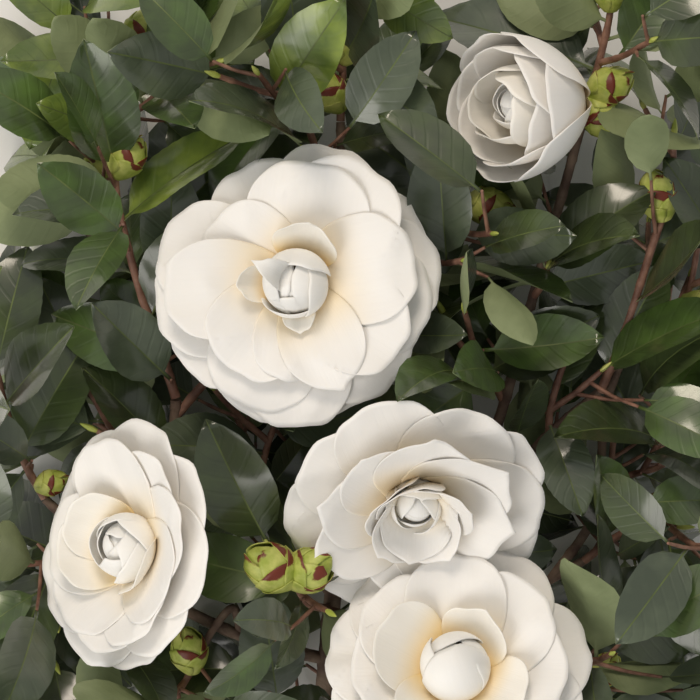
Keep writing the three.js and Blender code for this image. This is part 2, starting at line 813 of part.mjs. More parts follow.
    buds: [[0.05, 100, 20, 20]],
  },
  {
    name: 'left_edge_shoot',
    parent: 'lower_left_bough',
    seed: 114,
    radii: [1.8, 1.3],
    route: [[-129, -62.7, 51.3], [-137, -48, 54], [-144, -26, 58], [-148, -8, 62]],
    twigs: 3,
    twigLength: 34,
    leafLength: 58,
    shownLeaves: [
      [0.4, 62, 12, 4, 58, 0],
      [0.72, 48, 38, 0, 56, 2],
      [0.04, -100, 14, 8, 66, 1],
      [1, 76, 10, 10, 54, 4],
      [0.3, -128, 8, 0, 48, 0],
    ],
    buds: [[0.12, 16, 6, 14]],
  },
  {
    name: 'bud_shoot',
    parent: 'main_stem',
    seed: 115,
    radii: [1.8, 1.4],
    route: [[-8, -111, 33.5], [-17, -107, 56], [-24, -94, 82]],
    twigs: 3,
    twigLength: 26,
    leafLength: 54,
    shownLeaves: [
      [0.8, 118, -8, 10, 62, 1],
      [0.8, 48, -16, 0, 44, 4],
      [0.5, 172, 12, 10, 42, 4],
      [0.66, 100, 0, 30, 56, 0],
    ],
    buds: [[1, 158, 8, 25], [0.97, 18, 12, 22]],
  },
  {
    name: 'inner_left_shoot',
    parent: 'left_bough',
    seed: 116,
    radii: [1.7, 1.2],
    route: [[-40, -65, 45.6], [-36, -44, 48], [-30, -26, 50]],
    twigs: 3,
    twigLength: 30,
    leafLength: 58,
    shownLeaves: [
      [0.5, 168, 10, 0, 56, 0],
      [1, 70, 0, 0, 54, 1],
      [0.8, 10, 6, 20, 50, 4],
    ],
    buds: [],
  },
  {
    name: 'left_middle_shoot',
    parent: 'left_bough',
    seed: 117,
    radii: [1.7, 1.2],
    route: [[-66, -43, 53], [-80, -44, 56], [-93, -40, 59], [-106, -34, 60]],
    twigs: 3,
    twigLength: 32,
    leafLength: 56,
    shownLeaves: [
      [0.25, 128, 18, 12, 52, 0],
      [0.6, 214, 8, 0, 50, 1],
      [1, 160, 12, -10, 54, 4],
    ],
    buds: [],
  },
  {
    name: 'lower_left_shoot',
    parent: 'lower_left_bough',
    seed: 118,
    radii: [1.7, 1.2],
    route: [[-108, -83, 47], [-122, -94, 43], [-134, -110, 42], [-140, -126, 44]],
    twigs: 3,
    twigLength: 32,
    leafLength: 60,
    shownLeaves: [
      [0.2, 158, 14, -8, 58, 0],
      [0.5, 196, 2, 8, 46, 1],
      [0.6, -40, 6, 0, 54, 0],
    ],
    buds: [],
  },
  {
    name: 'middle_right_shoot',
    parent: 'upper_right_bough',
    seed: 119,
    radii: [1.7, 1.2],
    route: [[65, -22, 51], [57, -8, 55], [46, 3, 58], [40, 14, 60]],
    twigs: 3,
    twigLength: 30,
    leafLength: 56,
    shownLeaves: [
      [0.3, 30, 10, 18, 54, 0],
      [0.8, 24, 8, -6, 60, 1],
      [1, 150, 0, 0, 44, 4],
    ],
    buds: [],
  },
  {
    name: 'right_inner_shoot',
    parent: 'right_bough',
    seed: 120,
    radii: [1.7, 1.2],
    route: [[84, -36, 53], [84, -26, 58], [88, -10, 61], [94, 4, 63]],
    twigs: 3,
    twigLength: 28,
    leafLength: 54,
    shownLeaves: [
      [0.5, 74, 12, -10, 50, 0],
      [0.2, -72, 14, 10, 44, 1],
      [1, 92, 4, 26, 46, 4],
      [0.7, 150, 0, 8, 46, 0],
    ],
    buds: [],
  },
  {
    name: 'deep_right_shoot',
    parent: 'right_edge_bough',
    seed: 121,
    radii: [1.6, 1.2],
    route: [[104, -62, 46], [117, -54, 46], [130, -50, 48], [140, -44, 50]],
    twigs: 3,
    twigLength: 30,
    leafLength: 56,
    shownLeaves: [
      [0.4, -48, 8, 0, 52, 0],
      [0.9, 14, 8, 66, 40, 1],
    ],
    buds: [],
  },
  {
    name: 'lower_middle_shoot',
    parent: 'main_stem',
    seed: 122,
    radii: [1.8, 1.2],
    route: [[-13, -166, 13], [-26, -158, 24], [-36, -146, 33], [-44, -138, 38]],
    twigs: 3,
    twigLength: 30,
    leafLength: 58,
    shownLeaves: [
      [0.5, 96, 30, 0, 56, 0],
      [0.8, 70, 20, 0, 50, 4],
      [1, 170, 6, 10, 50, 1],
      [0.4, -172, 0, 10, 44, 4],
    ],
    buds: [],
  },
];

const direction = (heading, lift) =>
  vector([Math.cos(lift) * Math.cos(heading), Math.cos(lift) * Math.sin(heading), Math.sin(lift)]);

// A side twig of a spray: twigs are spread along its stem and leave it all round.
function twigOf(spray, stem, index, rnd) {
  const at = TWIG_RULE.from + (TWIG_RULE.spread * (index + rnd())) / spray.twigs;
  const around = 2 * Math.PI * rnd();
  const away = degrees(TWIG_RULE.away + TWIG_RULE.awaySpread * rnd());
  const length = spray.twigLength * (TWIG_RULE.shortest + TWIG_RULE.lengthSpread * rnd());
  const tangent = stem.getTangent(at);
  const { side, up } = acrossOf(tangent);
  const out = side.multiplyScalar(Math.cos(around)).addScaledVector(up, Math.sin(around));
  const aim = tangent.clone().multiplyScalar(Math.cos(away)).addScaledVector(out, Math.sin(away));
  const start = stem.getPoint(at);
  const middle = start.clone().addScaledVector(aim, length / 2);
  const end = start.clone().addScaledVector(aim, length).addScaledVector(SKY, TWIG_RULE.bow * length);
  return { route: [start.toArray(), middle.toArray(), end.toArray()], length };
}

// One filling leaf on a shoot: the leaves turn round it by a fixed angle, and the last one ends it.
function ruleLeaf(curve, index, count, from, leafLength, rnd) {
  const last = index === count - 1;
  const at = last ? 1 : from + ((1 - from) * (index + LEAF_RULE.stepIn)) / count;
  const around = index * LEAF_RULE.turn + LEAF_RULE.turnSpread * (rnd() - 0.5);
  const away = (last ? LEAF_RULE.endAway : LEAF_RULE.away) + LEAF_RULE.awaySpread * (rnd() - 0.5);
  const under = rnd() < LEAF_RULE.undersideShare ? Math.PI : 0;
  const roll = LEAF_RULE.rollSpread * (rnd() - 0.5) + under;
  const length = leafLength * (LEAF_RULE.shortest + LEAF_RULE.lengthSpread * rnd());
  const form = Math.floor(rnd() * LEAF_FORMS.length);
  const tangent = curve.getTangent(at);
  const { side, up } = acrossOf(tangent);
  const out = side.multiplyScalar(Math.cos(around)).addScaledVector(up, Math.sin(around));
  const axis = tangent.clone().multiplyScalar(Math.cos(away)).addScaledVector(out, Math.sin(away));
  return pressed({ base: curve.getPoint(at), axis, roll, length, form });
}

function shownLeaf(stem, [at, heading, lift, roll, length, form], extraLift) {
  const axis = direction(degrees(heading), degrees(lift + extraLift));
  return pressed({ base: stem.getPoint(at), axis, roll: degrees(roll), length, form });
}

// What is already in its place, so that nothing else is put there
const placed = [];

function place(solid, owner, shoot, wood = false) {
  const { min, max } = solid.boundingBox();
  placed.push({ solid, box: new THREE.Box3(vector(min), vector(max)), owner, shoot, wood });
}

function isFree(solid, ignored) {
  const { min, max } = solid.boundingBox();
  const box = new THREE.Box3(vector(min), vector(max));
  return !placed.some((other) => {
    if (ignored(other) || !other.box.intersectsBox(box)) return false;
    const common = solid.intersect(other.solid);
    const meets = !common.isEmpty();
    common.delete();
    return meets;
  });
}

// The open face of each bloom, which no leaf covers: its distance from the base, and its share of the width
const BLOOM_FACE = { ahead: 24, share: 0.86 };

function coversBloom(points) {
  return BLOOMS.some((bloom) => {
    const axis = vector(bloom.axis).normalize();
    const face = vector(bloom.base).addScaledVector(axis, BLOOM_FACE.ahead);
    const row = bloom.rows[0];
    const radius = row.length * Math.sin(degrees((row.open[0] + row.open[1]) / 2)) * BLOOM_FACE.share;
    return points.some((p) => p.z > face.z && Math.hypot(p.x - face.x, p.y - face.y) < radius);
  });
}

// A leaf grows where it stays in the branch's space, off every bloom's face, and clear of all that is there.
// Its stalk may meet the shoot that it grows on, and the stalks beside it.
function findsRoom(leaf, shoot) {
  const points = inPlace(leaf, leafRings(leaf, LEAF_SECTIONS.shown)).flat();
  if (!points.every((p) => p.z >= FLOOR_ROOM && REACH.containsPoint(p)) || coversBloom(points)) return false;
  const whole = skin(inPlace(leaf, roomRings(leaf, ROOM_SECTIONS.whole)));
  const blade = skin(inPlace(leaf, roomRings(leaf, ROOM_SECTIONS.blade)));
  const offOthers = isFree(whole, (other) => other.shoot === shoot);
  const free = offOthers && isFree(blade, (other) => other.wood || other.shoot !== shoot);
  whole.delete();
  blade.delete();
  return free;
}

const limbs = new Map();

// Cut back from its parent limb, so that the two meet face to face across a small gap.
function offParent(solid, parentName) {
  return solid.subtract(limbs.get(parentName).grown);
}

function growLimbs() {
  for (const limb of LIMBS) {
    const curve = curveOf(limb.route);
    const steps = Math.max(LIMB.fewestSteps, Math.round(curve.getLength() / LIMB.step));
    const sides = limb.radii[0] > LIMB.thickFrom ? LIMB.thickSides : LIMB.thinSides;
    const uncut = taperedLimb(curve, ...limb.radii, sides, steps);
    const cut = limb.parent ? offParent(uncut, limb.parent) : uncut.trimByPlane([0, 1, 0], CUT_END_Y);
    const solid = wholePiece(cut);
    const grown = taperedLimb(curve, ...limb.radii, sides, steps, JOINT_GAP);
    limbs.set(limb.name, { solid, grown });
    place(solid, limb.name, limb.name);
  }
}

const blooms = new Map();

function openBlooms() {
  for (const bloom of BLOOMS) {
    const solid = wholePiece(offParent(bloomSolid(bloom), bloom.stalk));
    blooms.set(bloom.name, solid);
    place(solid, bloom.name, bloom.name);
  }
}

// A spray's stem, and those of its buds that are clear of all else.
function growStem(spray) {
  const stem = curveOf(spray.route);
  const steps = Math.max(STEM.fewestSteps, Math.round(stem.getLength() / STEM.step));
  const solid = wholePiece(offParent(taperedLimb(stem, ...spray.radii, STEM.sides, steps), spray.parent));
  const parts = [solid];
  const shoot = `${spray.name} stem`;
  place(solid, spray.name, shoot, true);
  for (const [at, heading, lift, length] of spray.buds) {
    const bud = budSolid(stem.getPoint(at), direction(degrees(heading), degrees(lift)), length);
    if (!isFree(bud, (other) => other.owner === spray.name || other.owner === spray.parent)) continue;
    parts.push(bud);
    place(bud, spray.name, shoot);
  }
  return { spray, stem, shoot, parts, twigs: [], rnd: seeded(spray.seed) };
}

// A twig grows where it stays in the branch's space and clear of all but its own stem.
function addTwig(growth, twig, shoot) {
  const curve = curveOf(twig.route);
  const inside = twig.route.every((p) => REACH.containsPoint(vector(p)));
  if (!inside || curve.getPoint(1).z < TWIG_RULE.lowest) return false;
  const grown = taperedLimb(curve, TWIG.startRadius, TWIG.endRadius, TWIG.sides, TWIG.steps, TWIG_ROOM);
  const free = isFree(grown, (other) => other.wood && other.shoot === growth.shoot);
  grown.delete();
  if (!free) return false;
  const solid = taperedLimb(curve, TWIG.startRadius, TWIG.endRadius, TWIG.sides, TWIG.steps);
  growth.parts.push(solid);
  growth.twigs.push({ curve, shoot, length: twig.length });
  place(solid, growth.spray.name, shoot, true);
  return true;
}

function growTwigs(growth) {
  for (let index = 0; index < growth.spray.twigs; index++) {
    for (let attempt = 0; attempt < TRIES; attempt++) {
      const twig = twigOf(growth.spray, growth.stem, index, growth.rnd);
      if (addTwig(growth, twig, `${growth.spray.name} twig ${index}`)) break;
    }
  }
}

function addLeaf(growth, leaf, shoot, sections) {
  if (!findsRoom(leaf, shoot)) return false;
  const solid = skin(inPlace(leaf, leafRings(leaf, sections)));
  growth.parts.push(solid);
  place(solid, growth.spray.name, shoot);
  return true;
}

// The leaves that show, each turned up or down a little where it has no room as it is.
function addShownLeaves(growth) {
  for (const shown of growth.spray.shownLeaves) {
    SHOWN_LIFTS.some((lift) =>
      addLeaf(growth, shownLeaf(growth.stem, shown, lift), growth.shoot, LEAF_SECTIONS.shown),
    );
  }
}

// The filling leaves, on each twig and then on the stem.
function addRuleLeaves(growth) {
  const { spray, stem, rnd } = growth;
  const shoots = [
    ...growth.twigs.map((twig) => ({ ...twig, ...LEAF_RULE.onTwig })),
    { curve: stem, shoot: growth.shoot, length: stem.getLength(), ...LEAF_RULE.onStem },
  ];
  for (const { curve, shoot, length, from, step } of shoots) {
    const count = Math.max(LEAF_RULE.leastOnShoot, Math.round(length / step));
    for (let index = 0; index < count; index++) {
      for (let attempt = 0; attempt < TRIES; attempt++) {
        const leaf = ruleLeaf(curve, index, count, from, spray.leafLength, rnd);
        if (addLeaf(growth, leaf, shoot, LEAF_SECTIONS.filling)) break;
      }
    }
  }
}

// Materials

const finish = (color, roughness) => new THREE.MeshStandardMaterial({ color, roughness, metalness: 0 });
const BARK = finish('#7a5546', 0.8);
const FOLIAGE = finish('#3d4a28', 0.4);
const BLOSSOM = finish('#f3efe6', 0.55);

const branch = new THREE.Group();
growLimbs();
openBlooms();
const growths = SPRAYS.map(growStem);
growths.forEach(addShownLeaves);
growths.forEach(growTwigs);
growths.forEach(addRuleLeaves);

for (const [name, { solid }] of limbs) branch.add(meshOf(name, solid, BARK));
for (const [name, solid] of blooms) branch.add(meshOf(name, solid, BLOSSOM));
for (const { spray, parts } of growths) {
  branch.add(meshOf(spray.name, offParent(wasm.Manifold.union(parts), spray.parent), FOLIAGE));
}

// Set down on the ground with the middle of its box over the origin.
const bounds = new THREE.Box3().setFromObject(branch);
const middle = bounds.getCenter(new THREE.Vector3());
branch.position.set(-middle.x, -middle.y, -bounds.min.z);

export default branch;
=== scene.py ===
"""Looks of a flowering branch cut from a white camellia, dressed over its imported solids."""
import json
import logging
import math
from dataclasses import dataclass, field, replace
from enum import Enum
from typing import Callable, Iterator

import bmesh
import bpy
import numpy as np
from mathutils import Matrix, Vector
from mathutils.bvhtree import BVHTree
from mathutils.kdtree import KDTree

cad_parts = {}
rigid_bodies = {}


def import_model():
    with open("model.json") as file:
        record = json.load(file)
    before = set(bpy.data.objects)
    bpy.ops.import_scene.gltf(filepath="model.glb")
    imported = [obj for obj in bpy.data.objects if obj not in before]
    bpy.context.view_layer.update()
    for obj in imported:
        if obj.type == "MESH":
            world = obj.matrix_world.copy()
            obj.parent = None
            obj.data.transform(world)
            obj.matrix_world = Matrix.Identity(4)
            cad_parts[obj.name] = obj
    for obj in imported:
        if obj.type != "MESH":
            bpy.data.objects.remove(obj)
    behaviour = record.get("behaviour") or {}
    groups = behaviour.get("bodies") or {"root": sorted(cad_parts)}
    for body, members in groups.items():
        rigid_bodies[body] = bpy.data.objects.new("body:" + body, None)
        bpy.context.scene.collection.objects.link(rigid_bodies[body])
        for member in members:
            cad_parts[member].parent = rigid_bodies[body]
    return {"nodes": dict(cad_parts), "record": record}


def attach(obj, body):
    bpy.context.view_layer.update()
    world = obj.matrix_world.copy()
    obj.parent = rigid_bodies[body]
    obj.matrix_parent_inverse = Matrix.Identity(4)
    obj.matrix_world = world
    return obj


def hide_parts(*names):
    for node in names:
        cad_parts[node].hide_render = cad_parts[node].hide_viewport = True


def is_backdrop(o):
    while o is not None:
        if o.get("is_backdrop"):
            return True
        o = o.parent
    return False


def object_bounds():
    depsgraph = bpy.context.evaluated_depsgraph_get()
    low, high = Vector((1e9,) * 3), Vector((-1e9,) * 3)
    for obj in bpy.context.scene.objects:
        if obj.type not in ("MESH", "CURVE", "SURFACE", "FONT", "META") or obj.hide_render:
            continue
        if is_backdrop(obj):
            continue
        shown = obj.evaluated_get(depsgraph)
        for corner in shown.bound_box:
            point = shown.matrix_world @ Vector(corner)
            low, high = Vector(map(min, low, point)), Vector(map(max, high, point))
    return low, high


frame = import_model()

LOG = logging.getLogger("branch")
Point = np.ndarray
Triple = tuple[float, float, float]
Tree = bpy.types.NodeTree
Node = bpy.types.Node

# Metres in a millimetre. Shapes are worked out in millimetres in the branch's own frame.
MM = 0.001
ROOT = "root"
SKY = np.array((0, 0.5, 0.87)) / math.hypot(0.5, 0.87)
REACH_LOW = np.array((-166.0, -176.0, 0.0))
REACH_HIGH = np.array((166.0, 166.0, 126.0))
CUT_END_Y = -196.0
# The middle of the cut face's box in the branch's own frame, which the record's mount gives in the row frame
CUT_FACE = np.array((-13.744, -196.0, 7.319))
MOUNT = frame["record"]["mounts"][0]["pos_m"]
SET_DOWN = np.array(MOUNT) / MM - CUT_FACE


class Tone(Enum):
    """The two greens of a leaf, from the painted shade inside the bush to the newest growth with its painted
    light.
    """

    # Deep: painted shade low inside the bush
    DEEP = ("#1E2817", "#2C3A1E")
    OLIVE = ("#323D22", "#44532A")
    # Grey green: partly a painted sheen of the sky on the leaves that show
    GREY_GREEN = ("#414C38", "#56614A")
    MID = ("#3A4A24", "#506A2C")
    # Fresh and lit: younger growth, and partly painted light towards the top left
    FRESH = ("#566A2C", "#86983C")


def linear(colour: str) -> tuple[float, float, float, float]:
    """Turns an sRGB hex colour to linear red, green, blue and alpha.

    Args:
        colour: The colour as #RRGGBB.

    Returns:
        The four linear values.
    """
    parts = [int(colour[i : i + 2], 16) / 255 for i in (1, 3, 5)]
    red, green, blue = (p / 12.92 if p <= 0.04045 else ((p + 0.055) / 1.055) ** 2.4 for p in parts)
    return red, green, blue, 1.0


def feed(node: Node, inputs: dict) -> None:
    """Gives a node's inputs what they take.

    Args:
        node: The node.
        inputs: By input name or index, a value, an output socket, or a node that stands for its first output.
    """
    for name, value in inputs.items():
        if isinstance(value, Node):
            value = value.outputs[0]
        if isinstance(value, bpy.types.NodeSocket):
            node.id_data.links.new(value, node.inputs[name])
        else:
            node.inputs[name].default_value = value


def add_node(tree: Tree, kind: str, inputs: dict | None = None, **settings: object) -> Node:
    """Adds one node to a tree.

    Args:
        tree: The tree that takes the node.
        kind: The node's type name.
        inputs: What its inputs take, as for feed().
        settings: The node's own properties.

    Returns:
        The new node.
    """
    node = tree.nodes.new(kind)
    for name, value in settings.items():
        setattr(node, name, value)
    feed(node, inputs or {})
    return node


def placed(name: str, data: bpy.types.ID) -> bpy.types.Object:
    """Puts an object with its data in the scene.

    Args:
        name: The object's name.
        data: Its mesh, lamp or camera.

    Returns:
        The object.
    """
    made = bpy.data.objects.new(name, data)
    bpy.context.scene.collection.objects.link(made)
    return made


# Finishes


def noise(tree: Tree, size_mm: float, detail: float, stretch: Triple = (1, 1, 1)) -> Node:
    """Adds noise over the object's own coordinates.

    Args:
        tree: The material's nodes.
        size_mm: How large its patches are.
        detail: How many finer layers it has.
        stretch: How much finer it is along each axis.

    Returns:
        The noise node.
    """
    place = add_node(tree, "ShaderNodeTexCoord").outputs["Object"]
    turned = add_node(tree, "ShaderNodeMapping", {"Vector": place, "Scale": stretch})
    inputs = {"Vector": turned, "Scale": 1 / (size_mm * MM), "Detail": detail}
    return add_node(tree, "ShaderNodeTexNoise", inputs)


def two_tones(tree: Tree, share: Node, low: str, high: str, start: float = 0.0, end: float = 1.0) -> Node:
    """Adds a ramp between two colours.

    Args:
        tree: The material's nodes.
        share: The node or socket that gives the share of the second colour.
        low: The colour up to the start.
        high: The colour from the end on.
        start: The share where the ramp starts.
        end: The share where it ends.

    Returns:
        The ramp's node.
    """
    ramp = add_node(tree, "ShaderNodeValToRGB", {"Fac": share})
    for element, colour, position in zip(ramp.color_ramp.elements, (low, high), (start, end)):
        element.color = linear(colour)
        element.position = position
    return ramp


def texture_place(tree: Tree) -> Node:
    """Adds the texture place, split in how far across and how far along it is."""
    place = add_node(tree, "ShaderNodeTexCoord").outputs["UV"]
    return add_node(tree, "ShaderNodeSeparateXYZ", {"Vector": place})


def side_veins(tree: Tree, strength: float, depth: float) -> Node:
    """Adds the relief of a leaf's side veins, which leave the midrib every 7 mm or so and sweep forward.

    Args:
        tree: The material's nodes.
        strength: How strong the relief is. It sinks the veins above 0 and raises them below 0.
        depth: How deep it is, in metres.

    Returns:
        The bump node.
    """
    parts = texture_place(tree)
    aside = add_node(tree, "ShaderNodeMath", {0: parts}, operation="ABSOLUTE")
    inputs = {0: aside, 1: -0.2, 2: parts.outputs["Y"]}
    swept = add_node(tree, "ShaderNodeMath", inputs, operation="MULTIPLY_ADD")
    turns = add_node(tree, "ShaderNodeMath", {0: swept, 1: 50.0}, operation="MULTIPLY")
    wave = add_node(tree, "ShaderNodeMath", {0: turns}, operation="SINE")
    inputs = {"Value": wave, "From Min": 0.55, "From Max": 1.0, "To Min": 1.0, "To Max": 0.0}
    ridge = add_node(tree, "ShaderNodeMapRange", inputs, interpolation_type="SMOOTHSTEP")
    inputs = {"Height": ridge, "Strength": abs(strength), "Distance": depth}
    return add_node(tree, "ShaderNodeBump", inputs, invert=strength < 0)


@dataclass(frozen=True)
class Finish:
    """A surface, named for the real one. A subclass says in dress() what gives it its detail."""

    name: str
    roughness: float

    IOR = 1.45

    def material(self) -> bpy.types.Material:
        """Makes the material on its first use, and then gives the same one.

        Returns:
            The material.
        """
        made = bpy.data.materials.get(self.name)
        if not made:
            made = bpy.data.materials.new(self.name)
            made.use_nodes = True
            tree = made.node_tree
            tree.nodes.clear()
            inputs = {"Roughness": self.roughness, "IOR": self.IOR}
            shader = add_node(tree, "ShaderNodeBsdfPrincipled", inputs)
            add_node(tree, "ShaderNodeOutputMaterial", {"Surface": shader})
            self.dress(tree, shader)
        return made

    def dress(self, tree: Tree, shader: Node) -> None:
        """Gives the shader its colour, gloss and relief."""
        raise NotImplementedError


@dataclass(frozen=True)
class PetalFinish(Finish):
    """A fresh petal: soft, thin and waxy, so light soaks through it. It is creamier towards its foot, partly
    its own creamy tint and partly a painted warm glow of the shaded heart of the bloom.

    Fine veins fan out along it, and they give the eye its satin grain.
    """

    rim: str
    foot: str
    foot_ends: float

    # A vein every 1.2 mm or so, across a petal some 48 mm wide and 56 mm long
    VEINS = (40, 2.2, 1)
    LIGHT_INSIDE = {
        "Subsurface Weight": 0.15,
        "Subsurface Radius": (1.0, 0.9, 0.75),
        "Subsurface Scale": 1.2 * MM,
        "Specular IOR Level": 0.32,
    }

    def dress(self, tree: Tree, shader: Node) -> None:
        """Gives the petal its creamy foot, partly a painted warm glow, its veins and the light inside it.

        Args:
            tree: The material's nodes.
            shader: Its Principled BSDF node.
        """
        place = add_node(tree, "ShaderNodeTexCoord").outputs["UV"]
        along = add_node(tree, "ShaderNodeSeparateXYZ", {"Vector": place}).outputs["Y"]
        # Creamy foot: partly the petal's own tint, partly a painted warm glow where the bloom's heart lies in
        # shade
        cream_and_glow = two_tones(tree, along, self.foot, self.rim, 0.06, self.foot_ends)
        cream_and_glow.color_ramp.interpolation = "EASE"
        fan = add_node(tree, "ShaderNodeMapping", {"Vector": place, "Scale": self.VEINS})
        inputs = {"Vector": fan, "Scale": 1.0, "Detail": 2.0, "Distortion": 0.3}
        veins = add_node(tree, "ShaderNodeTexNoise", inputs)
        relief = add_node(tree, "ShaderNodeBump", {"Height": veins, "Strength": 0.22, "Distance": 0.0004})
        shade = add_node(tree, "ShaderNodeMapRange", {"Value": veins, "To Min": 0.972, "To Max": 1.0})
        colour = add_node(tree, "ShaderNodeVectorMath", {0: cream_and_glow, "Scale": shade}, operation="SCALE")
        feed(shader, {"Base Color": colour, "Normal": relief, **self.LIGHT_INSIDE})


@dataclass(frozen=True)
class LeafFinish(Finish):
    """The upper side of a leathery leaf: a waxed skin over a mottled green, with sunken side veins."""

    colour: str
    lighter: str

    def dress(self, tree: Tree, shader: Node) -> None:
        """Gives the leaf its mottling, its side veins and its gloss.

        Args:
            tree: The material's nodes.
            shader: Its Principled BSDF node.
        """
        colour = two_tones(tree, noise(tree, 16, 3), self.colour, self.lighter, 0.4, 0.72)
        relief = side_veins(tree, 0.25, 0.0005)
        feed(shader, {"Base Color": colour, "Normal": relief, "Coat Weight": 1.0, "Coat Roughness": 0.15})


@dataclass(frozen=True)
class LeafBackFinish(Finish):
    """The underside of a leaf: paler, matt and finely netted, with its side veins standing out."""

    def dress(self, tree: Tree, shader: Node) -> None:
        """Gives the underside its pale green and its net of veins."""
        colour = two_tones(tree, noise(tree, 9, 3), "#727D56", "#8F9A70")
        feed(shader, {"Base Color": colour, "Normal": side_veins(tree, -0.16, 0.0004)})


@dataclass(frozen=True)
class GrainFinish(Finish):
    """A grown surface of two tones, mottled and finely rough: bark, bud scales, leaf ribs or cut wood."""

    colour: str
    lighter: str
    mottle_mm: float
    relief_mm: float = 0.25
    relief_size_mm: float = 1.2
    relief: float = 0.6
    stretch: Triple = (1, 1, 1)

    def dress(self, tree: Tree, shader: Node) -> None:
        """Gives the surface its two tones and its roughness.

        Args:
            tree: The material's nodes.
            shader: Its Principled BSDF node.
        """
        mottle = noise(tree, self.mottle_mm, 4, self.stretch)
        colour = two_tones(tree, mottle, self.colour, self.lighter, 0.38, 0.66)
        grain = noise(tree, self.relief_size_mm, 3, self.stretch)
        inputs = {"Height": grain, "Strength": self.relief, "Distance": self.relief_mm * MM}
        feed(shader, {"Base Color": colour, "Normal": add_node(tree, "ShaderNodeBump", inputs)})


@dataclass(frozen=True)
class BudFinish(GrainFinish):
    """The scales of a flower bud: silky green, and dry where their second place passes a half."""

    DRY = "#6C2C1A"

    def dress(self, tree: Tree, shader: Node) -> None:
        """Gives the scales their two greens, and then their ragged dry margins.

        Args:
            tree: The material's nodes.
            shader: Its Principled BSDF node.
        """
        super().dress(tree, shader)
        inputs = {0: noise(tree, 1.6, 3), 1: 0.12, 2: texture_place(tree).outputs["Y"]}
        worn = add_node(tree, "ShaderNodeMath", inputs, operation="MULTIPLY_ADD")
        inputs = {"Value": worn, "From Min": 0.54, "From Max": 0.6}
        share = add_node(tree, "ShaderNodeMapRange", inputs, interpolation_type="SMOOTHSTEP")
        green = shader.inputs["Base Color"].links[0].from_socket
        inputs = {"Fac": share, "Color1": green, "Color2": linear(self.DRY)}
        feed(shader, {"Base Color": add_node(tree, "ShaderNodeMixRGB", inputs)})


# The petal feet, yellower on the inner and heart petals, are partly their own creamy tint and partly a
# painted warm glow of the shaded heart
OUTER_PETAL = PetalFinish("outer petal", 0.5, "#F6F3EE", "#F0DDB8", 0.72)
INNER_PETAL = PetalFinish("inner petal", 0.5, "#F7F3EA", "#F0CD7E", 0.72)
HEART_PETAL = PetalFinish("heart petal", 0.5, "#F8F6F1", "#F1D595", 0.52)
YOUNG_BARK = GrainFinish("young red-brown bark", 0.55, "#6C4A3C", "#9A7360", 7, relief_size_mm=0.9)
OLD_BARK = GrainFinish("weathered grey-brown bark", 0.75, "#5A463C", "#84705F", 9, 0.5, 1.6, 0.9)
CUT_WOOD = GrainFinish("fresh cut wood", 0.7, "#C9A97C", "#E0C9A0", 1.1, 0.1, 0.5, stretch=(1, 0.05, 1))
LEAF_RIB = GrainFinish("leaf midrib", 0.5, "#4E5B31", "#65723F", 10, 0.05)
LEAF_BACK = LeafBackFinish("leaf underside", 0.62)
BUD_SCALE = GrainFinish("silky green bud scale", 0.45, "#9FAC48", "#C9CC72", 6, 0.08, 0.7)
BUD_SKIN = BudFinish("silky green scale with a dry margin", 0.45, "#9FAC48", "#C9CC72", 6, 0.08, 0.7)
STUDIO_FLOOR = GrainFinish("matt white card", 0.9, "#E4E3E0", "#E9E8E5", 160, 0.05, 2, 0.2)


# Seeded numbers, routes and meshes


class Seeded:
    """Seeded numbers from 0 to 1, the same on every run and the same as the solids were grown by."""

    def __init__(self, seed: int) -> None:
        """Starts the row of numbers at a seed."""
        self.state = seed & 0xFFFFFFFF

    def __call__(self) -> float:
        """Gives the next number.

        Returns:
            The number.
        """
        self.state = (self.state + 0x6D2B79F5) & 0xFFFFFFFF
        t = self.state
        t = ((t ^ (t >> 15)) * (t | 1)) & 0xFFFFFFFF
        t ^= (t + ((t ^ (t >> 7)) * (t | 61) & 0xFFFFFFFF)) & 0xFFFFFFFF
        return ((t ^ (t >> 14)) & 0xFFFFFFFF) / 4294967296


def unit(v: Point) -> Point:
    """Gives a vector the length 1."""
    return v / np.linalg.norm(v)


def aimed(heading: float, lift: float) -> Point:
    """The direction of a heading, from +x towards +y, and a lift up from the flat, both in degrees."""
    h, l = math.radians(heading), math.radians(lift)
    return np.array((math.cos(l) * math.cos(h), math.cos(l) * math.sin(h), math.sin(l)))


def across_of(tangent: Point) -> tuple[Point, Point]:
    """Two directions square to a tangent, so that side, up and tangent are right-handed.

    Args:
        tangent: The way along.

    Returns:
        Side and up.
    """
    reference = np.array((0.0, 1.0, 0.0)) if abs(tangent[2]) > 0.9 else np.array((0.0, 0.0, 1.0))
    side = unit(np.cross(reference, tangent))
    return side, np.cross(tangent, side)


